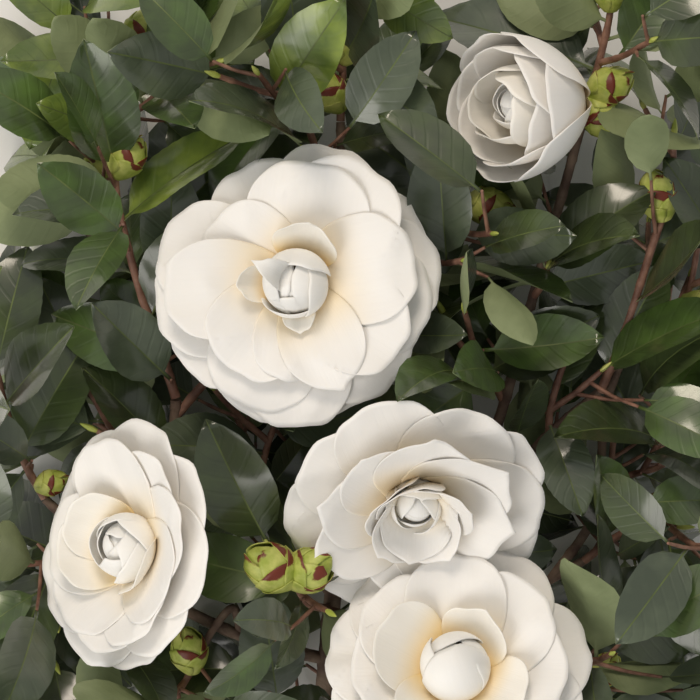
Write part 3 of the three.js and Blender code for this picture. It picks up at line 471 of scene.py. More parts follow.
class Route:
    """A smooth curve through points."""

    CHORDS = 200
    NEAR = 1e-4

    def __init__(self, points: tuple | list) -> None:
        """Takes the points that the curve goes through."""
        self.points = np.array(points, float)
        first = 2 * self.points[0] - self.points[1]
        last = 2 * self.points[-1] - self.points[-2]
        self.hull = np.vstack((first, self.points, last))

    def at(self, share: float) -> Point:
        """The point at a share of the way through the route's points.

        Args:
            share: The share.

        Returns:
            The point.
        """
        spans = len(self.points) - 1
        span = min(int(share * spans), spans - 1)
        t = share * spans - span
        a, b, c, d = self.hull[span : span + 4]
        start = 0.5 * (c - a)
        end = 0.5 * (d - b)
        return b + start * t + (3 * (c - b) - 2 * start - end) * t**2 + (2 * (b - c) + start + end) * t**3

    def tangent(self, share: float) -> Point:
        """The direction at a share of the way."""
        return unit(self.at(min(1, share + self.NEAR)) - self.at(max(0, share - self.NEAR)))

    def leaving(self, at: float, around: float, away: float) -> Point:
        """The way that a twig or a leaf leaves the curve.

        Args:
            at: The share of the way where it does.
            around: How far it is turned round the curve, in radians.
            away: How far it leans away from the curve, in radians.

        Returns:
            The direction.
        """
        tangent = self.tangent(at)
        side, up = across_of(tangent)
        out = side * math.cos(around) + up * math.sin(around)
        return tangent * math.cos(away) + out * math.sin(away)

    def branch(self, at: float, aim: Point, length: float, rise: float) -> "Route":
        """The curve of a twig that leaves this one along an aim, then turns up by a share of its length."""
        start = self.at(at)
        return Route((start, start + aim * length / 2, start + aim * length + SKY * rise * length))

    def length(self) -> float:
        """The curve's length."""
        points = np.array([self.at(i / self.CHORDS) for i in range(self.CHORDS + 1)])
        return float(np.linalg.norm(np.diff(points, axis=0), axis=1).sum())


@dataclass
class Surface:
    """Vertices, faces and their texture places, gathered from any number of shapes."""

    vertices: list[Point] = field(default_factory=list)
    faces: list[tuple[int, ...]] = field(default_factory=list)
    places: list[tuple[float, float]] = field(default_factory=list)
    finishes: list[int] = field(default_factory=list)
    count: int = 0

    def add(self, points: Point, *groups: tuple[list, int], places: Point | None = None) -> None:
        """Adds one shape.

        Args:
            points: Its vertices in millimetres.
            groups: Lists of its faces, by its own vertex numbers, each with the number of its finish.
            places: The texture place of each vertex, where it has one.
        """
        places = np.zeros((len(points), 2)) if places is None else places
        for faces, finish in groups:
            for face in faces:
                self.faces.append(tuple(i + self.count for i in face))
                self.places.extend((places[i][0], places[i][1]) for i in face)
                self.finishes.append(finish)
        self.vertices.append(points)
        self.count += len(points)

    def piece(self, name: str, finishes: list[Finish], set_down: bool = True) -> bpy.types.Object:
        """Makes a smooth mesh object of what was added.

        Args:
            name: The object's name.
            finishes: Its finishes in the order of their numbers.
            set_down: Whether it moves from the branch's own frame to the row frame.

        Returns:
            The object, in metres.
        """
        points = np.vstack(self.vertices) + (SET_DOWN if set_down else 0)
        mesh = bpy.data.meshes.new(name)
        mesh.from_pydata((points * MM).tolist(), [], self.faces)
        layer = mesh.uv_layers.new(name="UVMap")
        layer.data.foreach_set("uv", np.array(self.places, np.float32).ravel())
        mesh.attributes.new("finish", "INT", "FACE").data.foreach_set("value", self.finishes)
        mesh.polygons.foreach_set("material_index", [min(n, len(finishes) - 1) for n in self.finishes])
        mesh.polygons.foreach_set("use_smooth", [True] * len(self.faces))
        for finish in finishes:
            mesh.materials.append(finish.material())
        mesh.update()
        return placed(name, mesh)


def grid_faces(rows: int, columns: int, start: int = 0, flipped: bool = False) -> list[tuple[int, ...]]:
    """The faces of a grid of vertices, row by row.

    Args:
        rows: How many rows it has.
        columns: How many vertices each row has.
        start: The number of its first vertex.
        flipped: Whether the faces are turned over.

    Returns:
        The vertex numbers of each face.
    """
    corners = [start + i * columns + j for i in range(rows - 1) for j in range(columns - 1)]
    faces = [(a, a + 1, a + columns + 1, a + columns) for a in corners]
    return [face[::-1] for face in faces] if flipped else faces


def ring_faces(rings: int, sides: int) -> list[tuple[int, ...]]:
    """The faces of a capped skin over rings that turn right-handed about the way they follow each other.

    Args:
        rings: How many rings it has.
        sides: How many vertices each ring has.

    Returns:
        The faces.
    """
    faces = []
    for ring in range(rings - 1):
        for side in range(sides):
            a = ring * sides + side
            b = ring * sides + (side + 1) % sides
            faces.append((a, b, b + sides, a + sides))
    return [*faces, tuple(range(sides))[::-1], tuple(range((rings - 1) * sides, rings * sides))]


def tube(route: Route, radii: tuple[float, float], sides: int, rings: int) -> Point:
    """The vertices of a plain tapering tube.

    Args:
        route: Its curve.
        radii: Its radii at its start and end.
        sides: How many sides it has.
        rings: How many rings it has.

    Returns:
        The vertices, ring by ring.
    """
    points = []
    for t in np.linspace(0, 1, rings):
        side, up = across_of(route.tangent(t))
        radius = radii[0] + (radii[1] - radii[0]) * t
        for turn in range(sides):
            a = 2 * math.pi * turn / sides
            points.append(route.at(t) + radius * (side * math.cos(a) + up * math.sin(a)))
    return np.array(points)


def bare_points(name: str, places: list[Point], edges: list, values: dict) -> bpy.types.Object:
    """Makes a mesh of bare points that carry values.

    Args:
        name: The object's name.
        places: The points in millimetres in the branch's own frame.
        edges: The edges that join them.
        values: By name, the type of a value and what it is at each point.

    Returns:
        The object, in metres in the row frame.
    """
    mesh = bpy.data.meshes.new(name)
    mesh.from_pydata(((np.array(places) + SET_DOWN) * MM).tolist(), edges, [])
    for title, (kind, data) in values.items():
        key = "vector" if kind == "FLOAT_VECTOR" else "value"
        mesh.attributes.new(title, kind, "POINT").data.foreach_set(key, np.array(data).ravel())
    return placed(name, mesh)


def apply_tree(piece: bpy.types.Object, tree: Tree, values: dict, name: str) -> bpy.types.Object:
    """Runs a geometry node tree over an object and keeps the result as a plain mesh.

    Args:
        piece: The object that the tree starts from. It is removed.
        tree: The tree.
        values: The tree's inputs by name.
        name: The result's name.

    Returns:
        The new object.
    """
    modifier = piece.modifiers.new("grown", "NODES")
    modifier.node_group = tree
    for item in tree.interface.items_tree:
        if item.item_type == "SOCKET" and item.in_out == "INPUT" and item.name in values:
            modifier[item.identifier] = values[item.name]
    bpy.context.view_layer.update()
    graph = bpy.context.evaluated_depsgraph_get()
    grown = piece.evaluated_get(graph)
    mesh = bpy.data.meshes.new_from_object(grown, preserve_all_data_layers=True, depsgraph=graph)
    mesh.name = name
    old = piece.data
    bpy.data.objects.remove(piece)
    bpy.data.meshes.remove(old)
    return placed(name, mesh)


def new_tree(name: str, inputs: dict[str, str]) -> tuple[Tree, bpy.types.NodeOutputs]:
    """Starts a geometry node tree.

    Args:
        name: The tree's name.
        inputs: Its input names and socket types, after its geometry.

    Returns:
        The tree and what its group input gives.
    """
    tree = bpy.data.node_groups.new(name, "GeometryNodeTree")
    tree.interface.new_socket("Geometry", in_out="INPUT", socket_type="NodeSocketGeometry")
    for title, kind in inputs.items():
        tree.interface.new_socket(title, in_out="INPUT", socket_type=kind)
    tree.interface.new_socket("Geometry", in_out="OUTPUT", socket_type="NodeSocketGeometry")
    return tree, add_node(tree, "NodeGroupInput").outputs


def named(tree: Tree, name: str, kind: str) -> Node:
    """Adds a node that reads an attribute by its name."""
    return add_node(tree, "GeometryNodeInputNamedAttribute", {"Name": name}, data_type=kind)


def finish_piece(piece: bpy.types.Object, nodes: list[str]) -> None:
    """Keeps a piece above the ground, and makes it ride with the branch and stand for the nodes it replaces.

    Args:
        piece: The finished piece.
        nodes: The nodes that it replaces.
    """
    places = np.empty(3 * len(piece.data.vertices))
    piece.data.vertices.foreach_get("co", places)
    places[2::3] = np.maximum(places[2::3], 0.1 * MM)
    piece.data.vertices.foreach_set("co", places)
    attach(piece, ROOT)
    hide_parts(*nodes)
    LOG.info("%s: %d faces", piece.name, len(piece.data.polygons))


# The plan of the branch, as its solids were grown from


@dataclass(frozen=True)
class Limb:
    """One bough or stalk: its radii at its start and end, and the points it goes through."""

    name: str
    radii: tuple[float, float]
    route: tuple[Triple, ...]

    @property
    def is_stalk(self) -> bool:
        """Whether it carries a bloom."""
        return self.name.endswith("stalk")

    @property
    def shoot(self) -> "Shoot":
        """Its wood."""
        return Shoot.along(self.route, self.radii, self.name)


@dataclass(frozen=True)
class Spray:
    """One leafy shoot. Its leaves are (share along, heading, lift, roll, length, form), in degrees and mm.

    Its buds are (share along, heading, lift, length).
    """

    name: str
    radii: tuple[float, float]
    twig_length: float
    leaf_length: float
    route: tuple[Triple, ...]
    leaves: tuple[tuple[float, ...], ...]
    buds: tuple[tuple[float, ...], ...] = ()
    twigs: int = 3


@dataclass(frozen=True)
class LeafForm:
    """How a leaf bends back along its length, folds up along its midrib and twists, in radians."""

    bend: float
    fold: float
    twist: float

    def lines(self, s: Point, length: float) -> tuple[Point, Point, Point]:
        """The leaf's centre line, along x from its base with its glossy side up.

        Args:
            s: Shares of its length.
            length: Its length.

        Returns:
            The line's points, and the ways across and square to the blade there.
        """
        angle = self.bend * s
        normal = np.column_stack((np.sin(angle), np.zeros_like(s), np.cos(angle)))
        centre = (normal - (0, 0, 1)) * length / self.bend
        turn = (self.twist * s)[:, None]
        sideways = np.array((0.0, 1.0, 0.0))
        across = sideways * np.cos(turn) + normal * np.sin(turn)
        return centre, across, normal * np.cos(turn) - sideways * np.sin(turn)


LIMBS = (
    Limb("main_stem", (5, 3.4), (
        (-14, -206, 6), (-13, -173, 11), (-11, -148, 20), (-8, -112, 33), (-5, -83, 40),
    )),
    Limb("left_bough", (3, 2.3), (
        (-7, -105, 35), (-28, -77, 42), (-53, -54, 49), (-72, -38, 55), (-73, -21, 60),
    )),
    Limb("top_bough", (2.8, 1.9), (
        (-5, -84, 40), (-2, -38, 42), (-2, 17, 44), (-3, 63, 50), (-4, 96, 55),
    )),
    Limb("right_bough", (3, 2.2), (
        (-7, -95, 37), (21, -83, 42), (61, -59, 50), (85, -35, 53), (105, -18, 56),
    )),
    Limb("upper_right_bough", (2.4, 1.9), (
        (51, -65, 48), (65, -23, 51), (77, 22, 55), (88, 62, 61), (98, 99, 66),
    )),
    Limb("lower_left_bough", (2.8, 1.9), (
        (-10, -134, 25), (-41, -125, 34), (-77, -107, 42), (-108, -83, 47), (-129, -63, 51),
    )),
    Limb("lower_right_bough", (2.6, 1.9), (
        (-9, -118, 31), (30, -120, 31), (69, -107, 36), (100, -90, 40),
    )),
    Limb("right_edge_bough", (2.1, 1.7), (
        (86, -98, 38), (102, -74, 44), (106, -51, 47), (109, -23, 46), (117, 0, 48),
    )),
    Limb("upper_left_bough", (2.1, 1.6), (
        (-61, -47, 51), (-100, -28, 46), (-122, 2, 46), (-114, 36, 48), (-104, 65, 52),
    )),
    Limb("bottom_left_bough", (1.9, 1.5), (
        (-47, -122, 35), (-50, -110, 42), (-59, -120, 46), (-66, -134, 46),
    )),
    Limb("left_bloom_stalk", (1.9, 1.8), (
        (-84, -102, 43), (-82, -96, 54), (-76, -86, 66), (-75, -82.5, 73.5),
    )),
    Limb("large_bloom_stalk", (1.9, 1.8), (
        (-73, -28, 58), (-60, -13, 61), (-38, 6, 62), (-22, 22, 68), (-20.6, 26, 76),
    )),
    Limb("middle_bloom_stalk", (1.9, 1.8), (
        (26, -80, 43), (24.5, -64, 49), (25.5, -53, 59), (26.1, -51.2, 67.4), (26.2, -51.6, 69.4),
    )),
    Limb("lower_bloom_stalk", (2, 1.8), (
        (-11, -150, 19), (12, -152, 31), (34, -150, 49), (43, -141.5, 63), (44.5, -137.2, 72),
    )),
    Limb("upper_bloom_stalk", (1.8, 1.8), (
        (97, 95, 65), (98, 99, 70), (96.4, 102.8, 74), (94.2, 103.6, 75.8),
    )),
)

SPRAYS = (
    Spray(
        "left_shoot", (2.1, 1.3), 34, 58,
        route=((-73, -20, 60.5), (-79, 0, 64), (-88, 27, 69), (-95, 56, 74), (-97, 74, 78)),
        leaves=(
            (1, 99, 40, 0, 62, 2), (0.93, 184, 6, 140, 52, 0), (0.54, 157, 4, 30, 50, 1),
            (0.72, 43, 8, -28, 62, 0),
        ),
        buds=((0.98, 52, 5, 19),),
    ),
    Spray(
        "upper_left_shoot", (1.6, 1.2), 36, 54,
        route=((-104, 65.5, 52.3), (-98, 92, 55), (-93, 112, 60), (-91, 128, 63)),
        leaves=((0.62, 140, 18, 168, 46, 4), (0.5, 196, 4, 62, 46, 1), (0.3, 182, 0, 150, 42, 0)),
        buds=((0.95, 62, 12, 19), (0.2, 215, 8, 16)),
        twigs=4,
    ),
    Spray(
        "upper_middle_shoot", (1.7, 1.2), 36, 56,
        route=((-3, 61, 49.8), (-14, 84, 54), (-20, 103, 60), (-21, 116, 64)),
        leaves=((1, 96, 30, 0, 60, 2), (0.62, 152, 18, 22, 44, 4), (0.22, 170, 0, 0, 52, 1)),
    ),
    Spray(
        "top_shoot", (1.8, 1.3), 30, 54,
        route=((-4, 96.5, 55.3), (-3, 121, 62), (-4, 148, 68)),
        leaves=((0.1, 178, 6, 72, 62, 0), (0.34, 12, 8, -24, 44, 1), (0.94, 168, 4, 10, 46, 0)),
        buds=((0.12, 132, 22, 20), (0.5, 62, 10, 17)),
    ),
    Spray(
        "middle_shoot", (1.8, 1.2), 34, 58,
        route=((-2, 12, 43.8), (20, 27, 48), (38, 46, 54), (50, 62, 60)),
        leaves=((0.86, 132, 6, 0, 66, 1), (0.4, -60, 10, 20, 56, 0)),
        buds=((0.98, -6, 14, 20),),
    ),
    Spray(
        "upper_right_side_shoot", (1.7, 1.4), 26, 54,
        route=((77, 22, 55), (80, 27, 61), (82, 34, 67)),
        leaves=(
            (0.95, 48, 6, 0, 58, 1), (0.9, 104, 12, 78, 52, 0), (0.6, 182, 6, 60, 50, 1),
            (0.4, 14, 4, 28, 50, 0),
        ),
    ),
    Spray(
        "upper_right_shoot", (1.8, 1.3), 30, 56,
        route=((98, 99.5, 66.3), (103, 118, 70), (107, 136, 74), (108, 148, 77)),
        leaves=((0.3, 155, -8, 0, 76, 0), (0.12, -37, 10, 158, 64, 4), (0.66, 158, 18, 165, 48, 1)),
        buds=((0.12, 24, 14, 20), (0.8, 92, 16, 18), (0.1, -60, -8, 20)),
    ),
    Spray(
        "right_shoot", (2, 1.3), 28, 54,
        route=((105.3, -17.7, 56.3), (115, 8, 62), (126, 44, 68), (133, 66, 71), (134, 88, 74)),
        leaves=(
            (0.06, 68, 10, -12, 54, 0), (0.94, 36, 14, 10, 44, 2), (0.5, 24, -8, 10, 44, 1),
            (0.28, -24, -6, 40, 46, 0), (0.4, 150, 14, 0, 46, 1),
        ),
        buds=((0.62, 106, 16, 21),),
    ),
    Spray(
        "right_edge_shoot", (1.6, 1.2), 28, 54,
        route=((117.2, 0.3, 48.2), (132, 10, 52), (142, 24, 56), (146, 44, 60)),
        leaves=((0.02, -12, 8, 100, 44, 1), (0.3, -70, -14, 20, 42, 0)),
        buds=((0.6, -20, 12, 16),),
    ),
    Spray(
        "lower_right_shoot", (1.9, 1.3), 32, 58,
        route=((100, -90, 40.3), (112, -80, 46), (124, -74, 54), (137, -74, 60)),
        leaves=(
            (0.5, -36, 16, 24, 48, 1), (0.42, -8, 4, 78, 44, 0), (0.3, 118, 26, 0, 42, 2),
            (0.8, -78, 10, 0, 64, 0),
        ),
        buds=((0.7, 60, 14, 17),),
    ),
    Spray(
        "bottom_right_shoot", (1.8, 1.2), 34, 60,
        route=((69, -107, 36), (86, -122, 40), (100, -138, 46), (110, -150, 50)),
        leaves=(
            (0.3, -38, 10, 0, 66, 1), (0.35, 30, 12, -8, 60, 0), (0.9, -14, 6, 10, 50, 4),
            (0.7, -116, 0, 0, 26, 4),
        ),
        buds=((0.75, 50, 16, 17),),
    ),
    Spray(
        "bottom_shoot", (2, 1.3), 34, 58,
        route=((-12, -158, 16.5), (6, -163, 22), (28, -166, 30), (52, -166, 38)),
        leaves=((0.3, 112, 34, 0, 58, 0), (0.2, 150, 20, 0, 54, 1)),
    ),
    Spray(
        "bottom_left_shoot", (1.5, 1.2), 34, 58,
        route=((-66, -134.3, 46.2), (-74, -146, 46), (-86, -155, 48)),
        leaves=((0.1, 8, 6, 0, 56, 0), (0.7, 200, 10, 0, 54, 1)),
        buds=((0.05, 100, 20, 20),),
    ),
    Spray(
        "left_edge_shoot", (1.8, 1.3), 34, 58,
        route=((-129, -62.7, 51.3), (-137, -48, 54), (-144, -26, 58), (-148, -8, 62)),
        leaves=(
            (0.4, 62, 12, 4, 58, 0), (0.72, 48, 38, 0, 56, 2), (0.04, -100, 14, 8, 66, 1),
            (1, 76, 10, 10, 54, 4), (0.3, -128, 8, 0, 48, 0),
        ),
        buds=((0.12, 16, 6, 14),),
    ),
    Spray(
        "bud_shoot", (1.8, 1.4), 26, 54,
        route=((-8, -111, 33.5), (-17, -107, 56), (-24, -94, 82)),
        leaves=(
            (0.8, 118, -8, 10, 62, 1), (0.8, 48, -16, 0, 44, 4), (0.5, 172, 12, 10, 42, 4),
            (0.66, 100, 0, 30, 56, 0),
        ),
        buds=((1, 146, 30, 25), (0.97, 34, 32, 23)),
    ),
    Spray(
        "inner_left_shoot", (1.7, 1.2), 30, 58,
        route=((-40, -65, 45.6), (-36, -44, 48), (-30, -26, 50)),
        leaves=((0.5, 168, 10, 0, 56, 0), (1, 70, 0, 0, 54, 1), (0.8, 10, 6, 20, 50, 4)),
    ),
    Spray(
        "left_middle_shoot", (1.7, 1.2), 32, 56,
        route=((-66, -43, 53), (-80, -44, 56), (-93, -40, 59), (-106, -34, 60)),
        leaves=((0.25, 128, 18, 12, 52, 0), (0.6, 214, 8, 0, 50, 1), (1, 160, 12, -10, 54, 4)),
    ),
    Spray(
        "lower_left_shoot", (1.7, 1.2), 32, 60,
        route=((-108, -83, 47), (-122, -94, 43), (-134, -110, 42), (-140, -126, 44)),
        leaves=((0.2, 158, 14, -8, 58, 0), (0.5, 196, 2, 8, 46, 1), (0.6, -40, 6, 0, 54, 0)),
    ),
    Spray(
        "middle_right_shoot", (1.7, 1.2), 30, 56,
        route=((65, -22, 51), (57, -8, 55), (46, 3, 58), (40, 14, 60)),
        leaves=((0.3, 30, 10, 18, 54, 0), (0.8, 24, 8, -6, 60, 1), (1, 150, 0, 0, 44, 4)),
    ),
    Spray(
        "right_inner_shoot", (1.7, 1.2), 28, 54,
        route=((84, -36, 53), (84, -26, 58), (88, -10, 61), (94, 4, 63)),
        leaves=(
            (0.5, 74, 12, -10, 50, 0), (0.2, -72, 14, 10, 44, 1), (1, 92, 4, 26, 46, 4),
            (0.7, 150, 0, 8, 46, 0),
        ),
    ),
    Spray(
        "deep_right_shoot", (1.6, 1.2), 30, 56,
        route=((104, -62, 46), (117, -54, 46), (130, -50, 48), (140, -44, 50)),
        leaves=((0.4, -48, 8, 0, 52, 0), (0.9, 14, 8, 66, 40, 1)),
    ),
    Spray(
        "lower_middle_shoot", (1.8, 1.2), 30, 58,
        route=((-13, -166, 13), (-26, -158, 24), (-36, -146, 33), (-44, -138, 38)),
        leaves=(
            (0.5, 96, 30, 0, 56, 0), (0.8, 70, 20, 0, 50, 4), (1, 170, 6, 10, 50, 1),
            (0.4, -172, 0, 10, 44, 4),
        ),
    ),
)

LEAF_FORMS = (
    LeafForm(0.35, 0.30, 0.15),
    LeafForm(0.75, 0.22, -0.25),
    LeafForm(0.15, 0.42, 0.05),
    LeafForm(1.05, 0.28, 0.30),
    LeafForm(0.50, 0.16, -0.40),
    LeafForm(-0.30, 0.34, 0.20),
)


# Leaves and twigs


@dataclass
class Leaf:
    """One leaf: where it leaves its shoot, which way, how it is rolled, its length and its form."""

    base: Point
    axis: Point
    roll: float
    length: float
    form: int
    shown: bool = False

    STALK = 0.1
    FLOOR = 0.8
    STEPS = 16
    PACKED = (0.36, 0.72)

    def matrix(self) -> Point:
        """The leaf's directions along, across and up from its glossy side.

        Returns:
            The directions as columns.
        """
        normal = unit(SKY - SKY.dot(self.axis) * self.axis)
        quarter = np.cross(self.axis, normal)
        normal = normal * math.cos(self.roll) + quarter * math.sin(self.roll)
        return np.column_stack((self.axis, np.cross(normal, self.axis), normal))

    @classmethod
    def half_width(cls, s: Point, length: float) -> Point:
        """A leaf's half width at shares of its length: a stalk, then a blade that swells and narrows."""
        u = np.clip((s - cls.STALK) / (1 - cls.STALK), 0, 1)
        return 0.95 + length * 0.245 * 2.6 * u**0.6 * (1 - u) ** 0.8

    def shape(self, sections: tuple[float, ...], wider: float = 0.0, half_thickness: float = 0.7) -> Point:
        """The leaf's rings at some sections: left edge, midrib above, right edge and midrib below.

        Args:
            sections: Shares of its length.
            wider: What is added to its half width.
            half_thickness: Half its thickness at the midrib.

        Returns:
            The points, section by section, and last the tip four times.
        """
        form = LEAF_FORMS[self.form]
        s = np.array((*sections, 1.0))
        centre, across, square = form.lines(s, self.length)
        half = (self.half_width(s, self.length) + wider)[:, None]
        raised = centre + square * half * math.sin(form.fold)
        spread = across * half * math.cos(form.fold)
        rib = square * half_thickness
        rings = np.stack((raised + spread, centre + rib, raised - spread, centre - rib), axis=1)
        rings[-1] = centre[-1]
        return rings @ self.matrix().T + self.base

    def pressed(self) -> "Leaf":
        """Bends the leaf up by small steps until it lies on the ground and not in it.

        Returns:
            The leaf.
        """
        for _ in range(self.STEPS):
            root = self.base - 1.2 * self.axis
            if min(self.shape(self.PACKED)[..., 2].min(), root[2]) >= self.FLOOR:
                break
            lift = math.atan2(self.axis[2], math.hypot(self.axis[0], self.axis[1])) + math.radians(4)
            heading = math.atan2(self.axis[1], self.axis[0])
            self.axis = aimed(math.degrees(heading), math.degrees(lift))
        return self


@dataclass
class Shoot:
    """A bough, a stem or a twig: its curve, its length, its radii at its start and end, and its name."""

    route: Route
    length: float
    radii: tuple[float, float]
    name: str

    @classmethod
    def along(cls, points: tuple[Triple, ...], radii: tuple[float, float], name: str) -> "Shoot":
        """The shoot whose curve goes through some points."""
        route = Route(points)
        return cls(route, route.length(), radii, name)


class Packed:
    """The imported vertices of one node. What the source grew is found there, and what had no room isn't."""

    NEAR = 0.03

    def __init__(self, node: str) -> None:
        """Reads the node's vertices."""
        mesh = frame["nodes"][node].data
        points = np.empty(len(mesh.vertices) * 3, np.float32)
        mesh.vertices.foreach_get("co", points)
        self.tree = KDTree(len(mesh.vertices))
        for index, point in enumerate(points.reshape(-1, 3) / MM - SET_DOWN):
            self.tree.insert(point, index)
        self.tree.balance()

    def holds(self, points: Point, least: int) -> bool:
        """Whether at least so many of the points are vertices of the node."""
        return sum(self.tree.find(point)[2] < self.NEAR for point in points.reshape(-1, 3)) >= least


class Growth:
    """A spray grown again by the source's rule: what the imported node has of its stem, twigs and leaves."""

    TRIES = 10
    LIFTS = (0, 8, -8, 16, -16, 26, -26, 38, -38)
    TWIG_RADII = (1.5, 1.15)

    def __init__(self, spray: Spray, seed: int) -> None:
        """Grows the spray by the numbers of its seed."""
        self.spray = spray
        self.stem = Shoot.along(spray.route, spray.radii, f"{spray.name} stem")
        self.packed = Packed(spray.name)
        self.random = Seeded(seed)
        self.twigs: list[Shoot] = []
        self.leaves: list[tuple[str, Leaf]] = []
        self.grow_shown()
        for index in range(spray.twigs):
            self.grow_twig(index)
        for twig in self.twigs:
            self.grow_filling(twig, 0.3, 14)
        self.grow_filling(self.stem, 0.15, 19)

    def grow_shown(self) -> None:
        """Grows the leaves that show, each at the lift where it had room."""
        for at, heading, lift, roll, length, form in self.spray.leaves:
            for extra in self.LIFTS:
                axis = aimed(heading, lift + extra)
                base = self.stem.route.at(at)
                leaf = Leaf(base, axis, math.radians(roll), length, int(form), True).pressed()
                if self.packed.holds(leaf.shape(Leaf.PACKED)[:, :4], 4):
                    self.leaves.append((self.stem.name, leaf))
                    break

    def grow_twig(self, index: int) -> None:
        """Tries to grow one side twig.

        Args:
            index: The twig's number on the stem.
        """
        random, stem = self.random, self.stem.route
        for _ in range(self.TRIES):
            at = 0.08 + 0.86 * (index + random()) / self.spray.twigs
            around = 2 * math.pi * random()
            away = math.radians(42 + 34 * random())
            length = self.spray.twig_length * (0.7 + 0.5 * random())
            route = stem.branch(at, stem.leaving(at, around, away), length, 0.16)
            # The solid's twig has three sides, and its first ring is inside its stem
            if self.packed.holds(tube(route, self.TWIG_RADII, 3, 3)[3:], 2):
                self.twigs.append(Shoot(route, length, self.TWIG_RADII, f"{self.spray.name} twig {index}"))
                break

    def grow_filling(self, shoot: Shoot, start: float, step: float) -> None:
        """Grows the filling leaves of one shoot.

        Args:
            shoot: The shoot.
            start: The share of the way where they start.
            step: How far apart they are, in millimetres.
        """
        count = max(2, math.floor(shoot.length / step + 0.5))
        for index in range(count):
            for _ in range(self.TRIES):
                leaf = rule_leaf(shoot.route, index, count, start, self.spray.leaf_length, self.random)
                if self.packed.holds(leaf.shape((0.45,))[:, :4], 5):
                    self.leaves.append((shoot.name, leaf))
                    break


def rule_leaf(route: Route, index: int, count: int, start: float, size: float, random: Seeded) -> Leaf:
    """One filling leaf: the leaves turn round their shoot by a fixed angle, and the last one ends it.

    Args:
        route: The shoot's curve.
        index: The leaf's number.
        count: How many the shoot has.
        start: The share of the way where they start.
        size: The usual length of a leaf.
        random: The spray's seeded numbers.

    Returns:
        The leaf.
    """
    last = index == count - 1
    at = 1.0 if last else start + (1 - start) * (index + 0.3) / count
    around = index * math.radians(144) + 1.6 * (random() - 0.5)
    away = (0.25 if last else 0.95) + 0.5 * (random() - 0.5)
    under = math.pi if random() < 0.2 else 0.0
    roll = 1.9 * (random() - 0.5) + under
    length = size * (0.8 + 0.38 * random())
    form = int(random() * len(LEAF_FORMS))
    return Leaf(route.at(at), route.leaving(at, around, away), roll, length, form).pressed()


class Space:
    """What already stands in its place, so that no leaf or twig is grown through it."""

    CELL = 30.0

    def __init__(self) -> None:
        """Starts with nothing in it."""
        self.items: list[tuple[BVHTree, Point, Point, str, bool]] = []
        self.cells: dict[tuple[int, int, int], list[int]] = {}

    def cells_of(self, low: Point, high: Point) -> Iterator[tuple[int, int, int]]:
        """The cells that a box touches.

        Args:
            low: The box's least corner.
            high: Its greatest corner.

        Returns:
            The numbers of each cell.
        """
        a = np.floor(low / self.CELL).astype(int)
        b = np.floor(high / self.CELL).astype(int)
        for i in range(a[0], b[0] + 1):
            for j in range(a[1], b[1] + 1):
                for k in range(a[2], b[2] + 1):
                    yield i, j, k

    def place(self, points: Point, faces: list, shoot: str, wood: bool = False) -> None:
        """Puts a shape in its place.

        Args:
            points: Its vertices.
            faces: Its faces.
            shoot: The shoot that it belongs to.
            wood: Whether it is wood.
        """
        low, high = points.min(0), points.max(0)
        index = len(self.items)
        self.items.append((BVHTree.FromPolygons(points.tolist(), faces), low, high, shoot, wood))
        for cell in self.cells_of(low, high):
            self.cells.setdefault(cell, []).append(index)

    def is_free(self, points: Point, faces: list, ignored: Callable[[str, bool], bool]) -> bool:
        """Whether a shape meets nothing that is in its place.

        Args:
            points: Its vertices.
            faces: Its faces.
            ignored: Says of a thing's shoot, and of whether it is wood, that the shape may meet it.

        Returns:
            True where it is free.
        """
        low, high = points.min(0), points.max(0)
        tree = None
        near = {i for cell in self.cells_of(low, high) for i in self.cells.get(cell, ())}
        for index in near:
            other, other_low, other_high, shoot, wood = self.items[index]
            if ignored(shoot, wood) or (other_low > high).any() or (other_high < low).any():
                continue
            tree = tree or BVHTree.FromPolygons(points.tolist(), faces)
            if tree.overlap(other):
                return False
        return True


